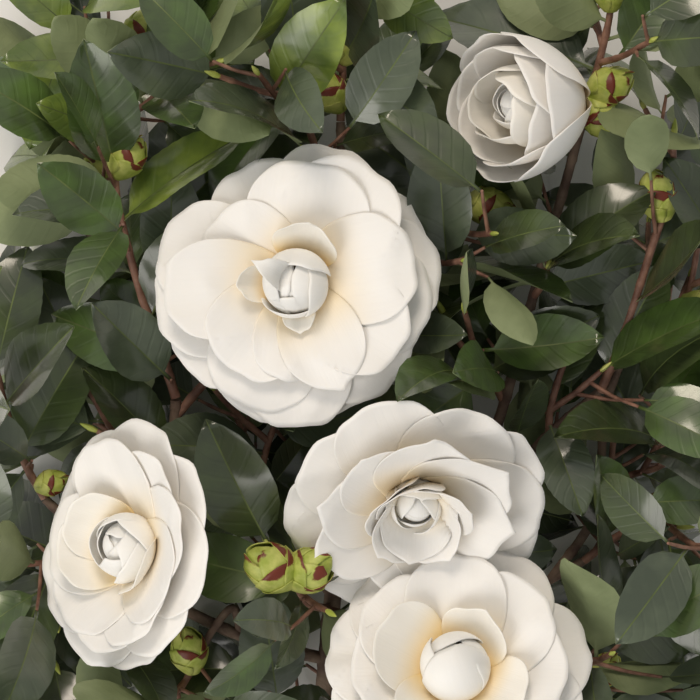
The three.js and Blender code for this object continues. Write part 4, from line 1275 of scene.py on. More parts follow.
class Shade:
    """What the ground sees of the sky: a grid over the branch that marks where something stands above it."""

    STEP = 2.0

    def __init__(self) -> None:
        """Starts with open sky all over the branch's reach."""
        size = ((REACH_HIGH - REACH_LOW)[:2] / self.STEP).astype(int)
        self.cover = np.zeros(size, np.int32)
        self.shown = np.zeros(size, bool)

    def cells(self, outline: Point) -> tuple[tuple[slice, slice], Point]:
        """The cells inside an outline seen from above.

        Args:
            outline: Its corners in order.

        Returns:
            The rows and columns round it, and a mask of those cells that are inside.
        """
        flat = (outline[:, :2] - REACH_LOW[:2]) / self.STEP
        low = np.maximum(np.floor(flat.min(0)).astype(int), 0)
        high = np.maximum(np.minimum(np.ceil(flat.max(0)).astype(int), self.cover.shape), low)
        x = np.arange(low[0], high[0])[:, None] + 0.5
        y = np.arange(low[1], high[1])[None, :] + 0.5
        inside = np.zeros((max(0, high[0] - low[0]), max(0, high[1] - low[1])), bool)
        for (ax, ay), (bx, by) in zip(flat, np.roll(flat, -1, axis=0)):
            if ay != by:
                crosses = (y < ay) != (y < by)
                inside ^= crosses & (x < ax + (y - ay) * (bx - ax) / (by - ay))
        return (slice(low[0], high[0]), slice(low[1], high[1])), inside

    def gain(self, outline: Point) -> float:
        """How much open ground an outline would cover, with thin cover counted in part.

        Args:
            outline: Its corners in order.

        Returns:
            The ground in square millimetres, less what it would hide of the wood and buds that show.
        """
        around, inside = self.cells(outline)
        cover = self.cover[around][inside]
        hidden = self.shown[around][inside].sum()
        return float(((cover == 0).sum() + 0.3 * (cover == 1).sum() - 9 * hidden) * self.STEP**2)

    def show(self, outline: Point) -> None:
        """Marks wood or a bud that no leaf hides so far, which the finer leaves then keep off."""
        around, inside = self.cells(outline)
        self.shown[around] |= inside & (self.cover[around] == 0)

    def add(self, outline: Point, layers: int = 1) -> None:
        """Marks the ground under an outline."""
        around, inside = self.cells(outline)
        self.cover[around] += inside.astype(np.int32) * layers


@dataclass
class Thicket:
    """The finer twigs and leaves between those of the solids, grown by the same rule in the same reach."""

    growths: list[Growth]
    space: Space = field(default_factory=Space)
    shade: Shade = field(default_factory=Shade)
    twigs: list[Shoot] = field(default_factory=list)
    leaves: list[Leaf] = field(default_factory=list)

    SEED = 77
    TWIG_STEP = 7.0
    TRIES = 7
    CHOICES = 5
    LEAST_GAIN = 34.0
    BOUGH_LEAF = 54
    WHOLE = (0.03, 0.14, 0.4, 0.74)
    BLADE = (0.16, 0.4, 0.74)
    OUTLINE = (0.12, 0.24, 0.4, 0.56, 0.74, 0.9)
    FACE_AHEAD = 24.0
    FACE_SHARE = 1.1

    def grow(self) -> None:
        """Puts what the solids have in its place, and then fills the gaps."""
        self.random = Seeded(self.SEED)
        for limb in LIMBS:
            self.place_wood(limb.shoot, 6, 12)
        for bloom in BLOOMS:
            self.place_bloom(bloom)
        for growth in self.growths:
            self.place_wood(growth.stem, 5, 8)
            for twig in growth.twigs:
                self.place_wood(twig, 4, 4)
            for name, leaf in growth.leaves:
                self.keep(leaf, name)
        self.show_wood_and_buds()
        self.fill()

    def place_wood(self, shoot: Shoot, sides: int, rings: int) -> None:
        """Takes the space of a shoot, for which a plain tube stands."""
        points = tube(shoot.route, shoot.radii, sides, rings)
        self.space.place(points, ring_faces(rings, sides), shoot.name, True)

    def place_bloom(self, bloom: "Bloom") -> None:
        """Takes the space and the ground that a bloom's solid covers.

        Args:
            bloom: The bloom.
        """
        mesh = frame["nodes"][bloom.name].data
        points = np.array([v.co for v in mesh.vertices]) / MM - SET_DOWN
        self.space.place(points, [tuple(p.vertices) for p in mesh.polygons], bloom.name)
        middle = points[:, :2].mean(0)
        turns = np.arctan2(points[:, 1] - middle[1], points[:, 0] - middle[0])
        far = np.linalg.norm(points[:, :2] - middle, axis=1)
        corners = []
        for i in range(16):
            a = -math.pi + 2 * math.pi * i / 16
            near = np.abs((turns - a + math.pi) % (2 * math.pi) - math.pi) < 0.3
            corners.append((*(middle + 0.94 * far[near].max() * np.array((math.cos(a), math.sin(a)))), 0))
        self.shade.add(np.array(corners), 5)

    def show_wood_and_buds(self) -> None:
        """Marks the boughs and buds that show, so that the finer leaves keep off them."""
        for limb in LIMBS:
            route = Route(limb.route)
            middles = np.array([route.at(share)[:2] for share in np.linspace(0, 1, 25)])
            along = np.gradient(middles, axis=0)
            aside = np.column_stack((-along[:, 1], along[:, 0])) / np.linalg.norm(along, axis=1)[:, None]
            for a, b, way in zip(middles, middles[1:], aside):
                side = way * (limb.radii[1] + 1.5)
                self.shade.show(np.array((a + side, b + side, b - side, a - side)))
        turns = np.linspace(0, 2 * math.pi, 9)[:-1]
        ring = np.column_stack((np.cos(turns), np.sin(turns)))
        for growth in self.growths:
            for at, heading, lift, length in growth.spray.buds:
                middle = growth.stem.route.at(at) + aimed(heading, lift) * length * 0.5
                self.shade.show(middle[:2] + ring * length * 0.45)

    def keep(self, leaf: Leaf, shoot: str) -> None:
        """Puts a leaf in its place for good.

        Args:
            leaf: The leaf.
            shoot: The name of the shoot that it is on.
        """
        self.leaves.append(leaf)
        rings = leaf.shape(self.WHOLE)
        self.space.place(rings.reshape(-1, 3), ring_faces(len(rings), 4), shoot)
        self.shade.add(self.outline(leaf))

    def outline(self, leaf: Leaf) -> Point:
        """A leaf's outline, up its left edge and down its right."""
        rings = leaf.shape(self.OUTLINE)
        return np.vstack((rings[:, 0], rings[::-1, 2]))

    def covers_bloom(self, points: Point) -> bool:
        """Whether any of the points is in front of a bloom's open face.

        Args:
            points: The points.

        Returns:
            True where one is.
        """
        for bloom in BLOOMS:
            face = np.array(bloom.base) + unit(np.array(bloom.axis)) * self.FACE_AHEAD
            above = points[:, 2] > face[2] - 16
            near = np.hypot(*(points[:, :2] - face[:2]).T) < bloom.face_radius * self.FACE_SHARE
            if (above & near).any():
                return True
        return False

    def fits(self, leaf: Leaf, shoot: str) -> bool:
        """Whether a leaf stays in the branch's reach and clear of all else.

        Its stalk may meet its shoot and the stalks beside it.

        Args:
            leaf: The leaf.
            shoot: The name of its shoot.

        Returns:
            True where it does.
        """
        points = leaf.shape(self.WHOLE).reshape(-1, 3)
        inside = (points >= REACH_LOW + (0, 0, 0.8)).all() and (points <= REACH_HIGH).all()
        if not inside or self.covers_bloom(points):
            return False
        whole = leaf.shape(self.WHOLE, 0.5, 1.5)
        if not self.space.is_free(whole.reshape(-1, 3), ring_faces(len(whole), 4), lambda s, w: s == shoot):
            return False
        blade = leaf.shape(self.BLADE, 0.5, 1.5)
        faces = ring_faces(len(blade), 4)
        return self.space.is_free(blade.reshape(-1, 3), faces, lambda s, w: w or s != shoot)

    def fill(self) -> None:
        """Grows fine twigs all along the wood, each with its own leaves, where the ground still shows."""
        shoots = [(twig, g.spray.leaf_length) for g in self.growths for twig in g.twigs]
        shoots += [(g.stem, g.spray.leaf_length) for g in self.growths]
        shoots += [(limb.shoot, self.BOUGH_LEAF) for limb in LIMBS if not limb.is_stalk]
        for shoot, size in shoots:
            count = max(2, round(shoot.length / self.TWIG_STEP))
            for index in range(count):
                self.grow_twig(shoot, (index + self.random()) / count, size, index)
        LOG.info("%.1f%% of the ground is open", 100 * float((self.shade.cover == 0).mean()))

    def grow_twig(self, parent: Shoot, at: float, size: float, index: int) -> None:
        """Tries to grow one fine twig with its leaves.

        Args:
            parent: The shoot that it leaves.
            at: The share of the way where it does.
            size: The usual length of a leaf there.
            index: The twig's number on its parent.
        """
        random = self.random
        for attempt in range(self.TRIES):
            around = index * math.radians(144) + 2 * math.pi * random()
            away = math.radians(38 + 38 * random())
            length = 12 + 26 * random()
            route = parent.route.branch(at, parent.route.leaving(at, around, away), length, 0.14)
            if (route.points < REACH_LOW + (0, 0, 5)).any() or (route.points > REACH_HIGH).any():
                continue
            points = tube(route, (1.6, 1.3), 4, 3)
            name = f"{parent.name} {index} {attempt}"
            if not self.space.is_free(points, ring_faces(3, 4), lambda s, w: w and s == parent.name):
                continue
            end = self.grow_leaves(route, length, name, size * (0.66 + 0.3 * random()))
            if end:
                kept = Route([route.at(end * share) for share in (0, 0.5, 1)])
                self.twigs.append(Shoot(kept, length * end, (0.95, 0.65), name))
                self.place_wood(Shoot(kept, length * end, (1.0, 0.7), name), 4, 3)
                return

    def grow_leaves(self, route: Route, length: float, shoot: str, size: float) -> float:
        """Grows the leaves of a fine twig, each the one of a few choices that covers the most open ground.

        Args:
            route: The twig's curve.
            length: Its length.
            shoot: Its name.
            size: The usual length of its leaves.

        Returns:
            The share of the twig where its last leaf grew, or 0 where none did.
        """
        count = max(2, round(length / 9))
        end = 0.0
        for index in reversed(range(count)):
            best, most = None, self.LEAST_GAIN
            for _ in range(self.CHOICES):
                leaf = rule_leaf(route, index, count, 0.25, size, self.random)
                gain = self.shade.gain(self.outline(leaf))
                if gain > most and self.fits(leaf, shoot):
                    best, most = leaf, gain
            if best:
                self.keep(best, shoot)
                end = max(end, 1.0 if index == count - 1 else 0.28 + 0.75 * (index + 0.3) / count)
        return end


# Foliage


@dataclass(frozen=True)
class LeafShape:
    """One leaf form as a mesh of the length NOMINAL, from which the leaves of the branch are made."""

    form: int
    fine: bool

    NOMINAL = 56.0
    PLAIN_ROWS = (0.0, 0.09, 0.17, 0.29, 0.42, 0.56, 0.7, 0.82, 0.92, 1.0)
    PLAIN_COLUMNS = (1, 0.55, 0, -0.55, -1)
    FINE_ROWS = 27
    FINE_COLUMNS = (1, 0.8, 0.42, 0, -0.42, -0.8, -1)
    THICKNESS = 0.42
    RIB = 0.34

    def build(self) -> bpy.types.Object:
        """Makes the leaf's mesh: its blade folded along a sunken midrib, with recurved margins, and its back.

        Returns:
            The object, in metres, along x from its base, with its glossy side up.
        """
        form = LEAF_FORMS[self.form]
        s = np.linspace(0, 1, self.FINE_ROWS) if self.fine else np.array(self.PLAIN_ROWS)
        columns = np.array(self.FINE_COLUMNS if self.fine else self.PLAIN_COLUMNS)
        half = Leaf.half_width(s, self.NOMINAL) * (1 - 0.3 * np.clip((s - 0.8) / 0.2, 0, 1) ** 2)
        if self.fine:
            # The teeth of its margin
            half = half + np.where(np.arange(len(s)) % 2, 0.22, -0.1) * ((s > 0.2) & (s < 0.97))
        half[-1] = 0.12
        centre, across, square = form.lines(s, self.NOMINAL)
        middle = len(columns) // 2
        shares = np.concatenate((columns[:middle], (0.04, -0.04), columns[middle + 1 :]))
        aside = shares[None, :] * half[:, None]
        aside[:, middle] = np.minimum(self.RIB, half * 0.6)
        aside[:, middle + 1] = -aside[:, middle]
        share = np.abs(aside) / half[:, None]
        wave = 0.06 * np.sin(9 * s + 1.7 * self.form)[:, None] * np.sign(aside) * share**2 * half[:, None]
        raised = np.abs(aside) * math.sin(form.fold) * (1.18 - 0.2 * share**2) + wave * (s[:, None] > 0.12)
        top = centre[:, None] + across[:, None] * aside[..., None] * math.cos(form.fold)
        top = top + square[:, None] * raised[..., None]
        keel = 0.5 * np.sin(np.pi * s)[:, None]
        back = centre + square * (raised[:, middle][:, None] - self.THICKNESS - keel)
        flanks = top - square[:, None] * self.THICKNESS
        below = np.concatenate((flanks[:, 1:middle], back[:, None], flanks[:, middle + 2 : -1]), axis=1)
        return self.mesh(top, below, shares, s)

    def mesh(self, top: Point, below: Point, shares: Point, s: Point) -> bpy.types.Object:
        """Joins the blade and its back into one closed mesh.

        Args:
            top: The upper side's vertices, row by row.
            below: The back's vertices between its edges, row by row.
            shares: How far across each upper column is.
            s: How far along each row is.

        Returns:
            The object.
        """
        rows, columns = top.shape[:2]
        inner = below.shape[1]
        points = np.vstack((top.reshape(-1, 3), below.reshape(-1, 3)))
        spread = np.concatenate((shares[1 : inner // 2 + 1], (0.0,), shares[-inner // 2 : -1]))
        upper_places = np.column_stack((np.tile(shares, rows), np.repeat(s, columns)))
        places = np.vstack((upper_places, np.column_stack((np.tile(spread, rows), np.repeat(s, inner)))))
        upper = [
            ((a, b, c), (a, c, d)) if a % columns < columns // 2 else ((a, b, d), (b, c, d))
            for a, b, c, d in grid_faces(rows, columns)
        ]
        rib = columns // 2 - 1
        ribs = [face for pair in upper for face in pair if min(pair[0]) % columns == rib]
        blade = [face for pair in upper for face in pair if min(pair[0]) % columns != rib]
        # Each row of the back runs from one edge to the other
        start = rows * columns
        lines = [
            (i * columns, *range(start + inner * i, start + inner * (i + 1)), (i + 1) * columns - 1)
            for i in range(rows)
        ]
        under = []
        for line, after in zip(lines, lines[1:]):
            for k in range(inner + 1):
                a, b, c, d = line[k], line[k + 1], after[k + 1], after[k]
                under += ((b, a, c), (c, a, d)) if k < (inner + 1) // 2 else ((b, a, d), (c, b, d))
        foot = (*range(columns), *lines[0][-2:0:-1])
        last = (rows - 1) * columns
        end = (*range(last, last + columns), *lines[-1][-2:0:-1])
        surface = Surface()
        surface.add(points, ([*blade, foot[::-1], end], 0), (ribs, 1), (under, 2), places=places)
        kind = "fine" if self.fine else "plain"
        piece = surface.piece(f"leaf_{kind}_{self.form}", [LEAF_BACK], set_down=False)
        edges = [i * columns + c for i in range(rows - 1) for c in (0, columns - 1)]
        margins = {(edge, edge + columns) for edge in edges}
        sharp = piece.data.attributes.new("sharp_edge", "BOOLEAN", "EDGE")
        sharp.data.foreach_set("value", [tuple(sorted(e.vertices)) in margins for e in piece.data.edges])
        return piece


class Growing:
    """What puts a copy of a form on each point: the leaves on their shoots, and the buds."""

    FINISHES = ("Finish 0", "Finish 1", "Finish 2")

    def __init__(self) -> None:
        """Builds the node tree.

        Each point says how its shape is turned, how large it is and which form it has, and each face of a
        form has the number of its finish.
        """
        sockets = {"Forms": "NodeSocketCollection", **dict.fromkeys(self.FINISHES, "NodeSocketMaterial")}
        tree, start = new_tree("shapes on their shoots", sockets)
        inputs = {"Collection": start["Forms"], "Separate Children": True, "Reset Children": True}
        forms = add_node(tree, "GeometryNodeCollectionInfo", inputs)
        turn = add_node(tree, "FunctionNodeEulerToRotation", {"Euler": named(tree, "turn", "FLOAT_VECTOR")})
        inputs = {
            "Points": start["Geometry"],
            "Instance": forms,
            "Pick Instance": True,
            "Instance Index": named(tree, "form", "INT"),
            "Rotation": turn,
            "Scale": named(tree, "size", "FLOAT"),
        }
        shapes = add_node(tree, "GeometryNodeInstanceOnPoints", inputs)
        last = add_node(tree, "GeometryNodeRealizeInstances", {"Geometry": shapes})
        number = named(tree, "finish", "INT")
        for index, title in enumerate(self.FINISHES):
            inputs = {"A": number, "B": index}
            chosen = add_node(tree, "FunctionNodeCompare", inputs, data_type="INT", operation="EQUAL")
            inputs = {"Geometry": last, "Selection": chosen, "Material": start[title]}
            last = add_node(tree, "GeometryNodeSetMaterial", inputs)
        add_node(tree, "NodeGroupOutput", {"Geometry": last})
        self.tree = tree

    def grow(self, title: str, places: list, shapes: list, finishes: list[Finish]) -> None:
        """Makes one piece of the shapes that stand on points.

        Args:
            title: The piece's name.
            places: For each point its place, its three directions as columns, its size and its form.
            shapes: What builds each form, in the order of their names.
            finishes: The three finishes of their faces.
        """
        scene = bpy.context.scene.collection
        forms = bpy.data.collections.new(f"{title} forms")
        scene.children.link(forms)
        for piece in [shape.build() for shape in shapes]:
            scene.objects.unlink(piece)
            forms.objects.link(piece)
        bases, turns, sizes, numbers = zip(*places)
        values = {
            "turn": ("FLOAT_VECTOR", [tuple(Matrix(m.tolist()).to_euler("XYZ")) for m in turns]),
            "size": ("FLOAT", sizes),
            "form": ("INT", numbers),
        }
        points = bare_points(f"{title}_points", bases, [], values)
        inputs = {"Forms": forms, **{key: f.material() for key, f in zip(self.FINISHES, finishes)}}
        made = apply_tree(points, self.tree, inputs, title)
        for piece in list(forms.objects):
            mesh = piece.data
            bpy.data.objects.remove(piece)
            bpy.data.meshes.remove(mesh)
        bpy.data.collections.remove(forms)
        finish_piece(made, [spray.name for spray in SPRAYS])


@dataclass
class Foliage:
    """All the leaves, in one piece for each tone."""

    leaves: list[Leaf]

    SEED = 41

    def tone_of(self, leaf: Leaf, random: Seeded) -> Tone:
        """The tone of a leaf: darker low down as painted shade, fresher towards the top left as younger
        growth and painted light, and often grey green where it shows, partly as a painted sheen.

        Args:
            leaf: The leaf.
            random: Seeded numbers.

        Returns:
            The tone.
        """
        height = (leaf.base[2] + 20 * leaf.axis[2]) / 90 + 0.45 * (random() - 0.5)
        fresh = 0.5 * max(0.0, (leaf.base[1] - leaf.base[0]) / 300) + 0.22 * random()
        # Painted shade: leaves low in the bush are darker
        if height < 0.38:
            return Tone.DEEP if random() < 0.6 else Tone.OLIVE
        # Painted light, with younger growth: leaves towards the top left are lighter
        if fresh > 0.34:
            return Tone.FRESH if random() < 0.55 else Tone.MID
        # Painted sheen, in part: leaves that show are often grey green
        if leaf.shown:
            return Tone.GREY_GREEN if random() < 0.45 else Tone.OLIVE
        return (Tone.OLIVE, Tone.MID, Tone.GREY_GREEN)[int(3 * random())]

    def build(self, growing: Growing) -> None:
        """Deals out the tones and makes each tone's piece.

        Args:
            growing: What puts leaves on points.
        """
        random = Seeded(self.SEED)
        dealt: dict[tuple[Tone, bool], list] = {}
        for leaf in self.leaves:
            place = (leaf.base, leaf.matrix(), leaf.length / LeafShape.NOMINAL, leaf.form)
            dealt.setdefault((self.tone_of(leaf, random), leaf.shown), []).append(place)
        for (tone, fine), places in sorted(dealt.items(), key=lambda item: (item[0][0].name, item[0][1])):
            name = tone.name.lower()
            finish = LeafFinish(f"waxed leaf, {name.replace('_', ' ')}", 0.42, *tone.value)
            shapes = [LeafShape(form, fine) for form in range(len(LEAF_FORMS))]
            title = f"{'large' if fine else 'filling'}_leaves_{name}"
            growing.grow(title, places, shapes, [finish, LEAF_RIB, LEAF_BACK])


# Wood


def wood_tree() -> Tree:
    """Builds the node tree that gives limbs their roundness and their bark's relief.

    Returns:
        The tree. Its geometry is centre lines whose points carry a radius.
    """
    sockets = dict.fromkeys(("Relief", "Relief Size"), "NodeSocketFloat")
    sockets = {"Sides": "NodeSocketInt", **sockets, "Bark": "NodeSocketMaterial"}
    tree, start = new_tree("bark along centre lines", sockets)
    line = add_node(tree, "GeometryNodeMeshToCurve", {"Mesh": start["Geometry"]})
    ring = add_node(tree, "GeometryNodeCurvePrimitiveCircle", {"Resolution": start["Sides"], "Radius": 1.0})
    radius = named(tree, "thickness", "FLOAT")
    inputs = {"Curve": line, "Profile Curve": ring, "Scale": radius, "Fill Caps": True}
    skin = add_node(tree, "GeometryNodeCurveToMesh", inputs)
    place = add_node(tree, "GeometryNodeInputPosition")
    normal = add_node(tree, "GeometryNodeInputNormal")
    fineness = add_node(tree, "ShaderNodeMath", {0: 1.0, 1: start["Relief Size"]}, operation="DIVIDE")
    grain = add_node(tree, "ShaderNodeTexNoise", {"Vector": place, "Scale": fineness, "Detail": 3.0})
    level = add_node(tree, "ShaderNodeMath", {0: grain, 1: 0.5}, operation="SUBTRACT")
    height = add_node(tree, "ShaderNodeMath", {0: level, 1: start["Relief"]}, operation="MULTIPLY")
    out = add_node(tree, "ShaderNodeVectorMath", {0: normal, "Scale": height}, operation="SCALE")
    last = add_node(tree, "GeometryNodeSetPosition", {"Geometry": skin, "Offset": out})
    last = add_node(tree, "GeometryNodeRealizeInstances", {"Geometry": last})
    last = add_node(tree, "GeometryNodeSetShadeSmooth", {"Geometry": last})
    last = add_node(tree, "GeometryNodeSetMaterial", {"Geometry": last, "Material": start["Bark"]})
    add_node(tree, "NodeGroupOutput", {"Geometry": last})
    return tree


@dataclass
class Woodwork:
    """The stem, the boughs, the stalks and all the twigs."""

    growths: list[Growth]
    fine_twigs: list[Shoot]

    STEP = 1.6
    NODE_STEP = 17.0
    NODE_SWELL = 0.13

    def centre_line(self, shoots: list[Shoot], name: str) -> bpy.types.Object:
        """Makes a mesh of centre lines whose points carry a radius that swells at each leaf node.

        Args:
            shoots: What the lines are of.
            name: The object's name.

        Returns:
            The object, in the row frame.
        """
        points, edges, radii = [], [], []
        for shoot in shoots:
            thick, thin = shoot.radii
            nodes = max(1, round(shoot.length / self.NODE_STEP))
            for i, t in enumerate(np.linspace(0, 1, max(5, round(shoot.length / self.STEP)))):
                if i:
                    edges.append((len(points) - 1, len(points)))
                swell = max(0.0, math.cos(2 * math.pi * (nodes * t + 0.3))) ** 8
                points.append(shoot.route.at(t))
                radii.append((thick + (thin - thick) * t) * (1 + self.NODE_SWELL * swell) * MM)
        return bare_points(name, points, edges, {"thickness": ("FLOAT", radii)})

    def build(self) -> None:
        """Makes the main stem with its cut face, the boughs, the bloom stalks, the shoots and the twigs."""
        tree = wood_tree()
        boughs = [limb for limb in LIMBS[1:] if not limb.is_stalk]
        stalks = [limb for limb in LIMBS if limb.is_stalk]
        twigs = [twig for growth in self.growths for twig in growth.twigs]
        for title, shoots, sides, relief, size, bark, nodes in (
            ("stem_bark", [LIMBS[0].shoot], 20, 0.7, 3.4, OLD_BARK, LIMBS[:1]),
            ("bough_bark", [limb.shoot for limb in boughs], 20, 0.45, 3.4, OLD_BARK, boughs),
            ("bloom_stalk_bark", [limb.shoot for limb in stalks], 20, 0.2, 3.4, YOUNG_BARK, stalks),
            ("shoot_bark", [growth.stem for growth in self.growths], 12, 0.3, 2.6, YOUNG_BARK, SPRAYS),
            ("twig_bark", twigs, 10, 0.2, 2.6, YOUNG_BARK, SPRAYS),
            ("fine_twig_bark", self.fine_twigs, 6, 0.1, 2.6, YOUNG_BARK, SPRAYS),
        ):
            values = {"Sides": sides, "Relief": relief * MM, "Relief Size": size * MM}
            values["Bark"] = bark.material()
            piece = apply_tree(self.centre_line(shoots, title + "_lines"), tree, values, title)
            if title == "stem_bark":
                self.cut_square(piece)
            finish_piece(piece, [node.name for node in nodes])

    @staticmethod
    def cut_square(piece: bpy.types.Object) -> None:
        """Cuts the main stem off square at its foot and shows the wood there.

        Args:
            piece: The stem.
        """
        piece.data.materials.append(CUT_WOOD.material())
        shape = bmesh.new()
        shape.from_mesh(piece.data)
        whole = [*shape.verts, *shape.edges, *shape.faces]
        place = Vector((0, (CUT_END_Y + SET_DOWN[1]) * MM, 0))
        cut = bmesh.ops.bisect_plane(shape, geom=whole, plane_co=place, plane_no=(0, -1, 0), clear_outer=True)
        rim = [e for e in cut["geom_cut"] if isinstance(e, bmesh.types.BMEdge)]
        for face in bmesh.ops.contextual_create(shape, geom=rim)["faces"]:
            face.normal_update()
            if face.normal.y > 0:
                face.normal_flip()
            face.material_index = 1
            face.smooth = False
            for edge in face.edges:
                edge.smooth = False
        shape.to_mesh(piece.data)
        shape.free()


# Buds


@dataclass(frozen=True)
class BudShape:
    """A fat flower bud of overlapping scales, each with a dry margin, of the length NOMINAL along x."""

    number: int

    NOMINAL = 20.0
    SHARES = (-0.1, 0.02, 0.15, 0.32, 0.5, 0.68, 0.84, 0.94, 1.0)
    RADII = (0.12, 0.22, 0.31, 0.375, 0.375, 0.32, 0.225, 0.13, 0.02)
    SCALES = 9
    GRID = 11
    THICKNESS = 0.35

    def radius(self, share: float | Point) -> Point:
        """The bud's radius at a share of its length."""
        return np.interp(share, self.SHARES, self.RADII) * self.NOMINAL

    def build(self) -> bpy.types.Object:
        """Makes the bud: a smooth core under scales that wrap round it and end higher one after another.

        Returns:
            The object, in metres.
        """
        surface = Surface()
        random = Seeded(300 + self.number)
        a = np.linspace(0, 2 * np.pi, 8, endpoint=False)
        rings = []
        for share in np.linspace(-0.1, 0.99, 9):
            r = self.radius(share) * 0.9
            x = np.full(8, share * self.NOMINAL * 0.985)
            rings.append(np.column_stack((x, r * np.cos(a), r * np.sin(a))))
        surface.add(np.vstack(rings), (ring_faces(9, 8), 0))
        for index in range(self.SCALES):
            level = index / (self.SCALES - 1)
            turn = index * math.radians(137.5) + 0.5 * random()
            top = 0.34 + 0.68 * level**0.8
            self.add_scale(surface, turn, top, 1.3 - 0.3 * level, 0.75 - 0.5 * level, random)
        return surface.piece(f"bud_{self.number}", [BUD_SKIN], set_down=False)

    def add_scale(
        self, surface: Surface, turn: float, top: float, spread: float, proud: float, random: Seeded
    ) -> None:
        """Adds one scale.

        Args:
            surface: What takes it.
            turn: How far round the bud its middle is.
            top: The share of the bud's length where it ends.
            spread: Half the angle that it wraps round.
            proud: How far it stands out, in millimetres.
            random: Seeded numbers.
        """
        size = self.GRID
        u = np.linspace(-1, 1, size)
        t = np.linspace(0, 1, size)[:, None]
        end = 1 - 0.34 * np.abs(u) ** 2.6 + 0.05 * np.array([random() - 0.5 for _ in u])
        share = -0.08 + (top + 0.08) * t * end[None, :]
        angle = turn + u[None, :] * spread * np.minimum(1, 0.75 + 0.5 * t)
        radius = self.radius(share) + proud * (0.5 + 0.5 * t) + 0.35 * t**6
        skins = [
            np.stack((share * self.NOMINAL, r * np.cos(angle), r * np.sin(angle)), axis=-1).reshape(-1, 3)
            for r in (radius, radius - self.THICKNESS)
        ]
        faces = grid_faces(size, size, flipped=True) + grid_faces(size, size, size * size)
        faces += [face[::-1] for face in rim_faces(size, size)]
        # Its second texture place passes a half where its ragged crescent is dry
        broad = 0.5 + 2.8 * random()
        far = 1.2 + 4.2 * random()
        most = 2.0 + 6.0 * random()
        crescent = broad * (1 - ((np.arange(size)[None, :] - most) / far) ** 2)
        dry = crescent - (size - 1 - np.arange(size)[:, None])
        places = np.zeros((2 * size * size, 2))
        places[: size * size, 1] = np.clip(0.5 + 0.1 * dry, 0, 1).ravel()
        surface.add(np.vstack(skins), (faces, 0), places=places)


def rim_faces(rows: int, columns: int) -> list[tuple[int, ...]]:
    """The faces that join a grid's border to that of the grid behind it, whose vertices follow its own.

    Args:
        rows: How many rows of vertices each grid has.
        columns: How many vertices each row has.

    Returns:
        The faces.
    """
    behind = rows * columns
    border = [*range(columns - 1, rows * columns, columns)]
    border += [*range(rows * columns - 2, (rows - 1) * columns - 1, -1)]
    border += [*range((rows - 2) * columns, -1, -columns)]
    border += [*range(1, columns - 1)]
    return [(a, a + behind, b + behind, b) for a, b in zip(border, border[1:] + border[:1])]


@dataclass(frozen=True)
class LeafBudShape:
    """The slim bud of two scales that ends a twig."""

    LENGTH = 8.0
    SHARES = (-0.12, 0.12, 0.38, 0.68, 0.9, 1.0)
    RADII = (0.09, 0.14, 0.17, 0.12, 0.06, 0.01)
    SIDES = 6

    def build(self) -> bpy.types.Object:
        """Makes the bud, along x.

        Returns:
            The object, in metres.
        """
        a = np.linspace(0, 2 * np.pi, self.SIDES, endpoint=False)
        rings = [
            np.column_stack((np.full(self.SIDES, x), r * np.cos(a), r * 0.82 * np.sin(a)))
            for x, r in zip(self.SHARES, self.RADII)
        ]
        surface = Surface()
        surface.add(np.vstack(rings) * self.LENGTH, (ring_faces(len(rings), self.SIDES), 0))
        return surface.piece("bud_slim", [BUD_SCALE], set_down=False)


@dataclass
class Buds:
    """The fat flower buds on their shoots, and the slim buds that end the twigs."""

    growths: list[Growth]

    FORMS = 3

    def build(self, growing: Growing) -> None:
        """Makes each kind of bud as one piece.

        Args:
            growing: What puts buds on points.
        """
        fat, slim = [], []
        for growth in self.growths:
            for number, (at, heading, lift, length) in enumerate(growth.spray.buds):
                place = (growth.stem.route.at(at), aimed(heading, lift), length / BudShape.NOMINAL)
                fat.append(self.turned(*place, number % self.FORMS))
            for number, twig in enumerate([*growth.twigs, growth.stem]):
                end = (twig.route.at(1.0), twig.route.tangent(1.0))
                slim.append(self.turned(*end, 0.8 + 0.1 * (number % 5), 0))
        growing.grow("flower_buds", fat, [BudShape(number) for number in range(self.FORMS)], [BUD_SKIN] * 3)
        growing.grow("leaf_buds", slim, [LeafBudShape()], [BUD_SKIN] * 3)

    @staticmethod
    def turned(base: Point, axis: Point, size: float, form: int) -> tuple[Point, Point, float, int]:
        """A shape's place, its directions as columns, its size and its form, from the way that it points."""
        return base, np.column_stack((axis, *across_of(axis))), size, form


# Blooms


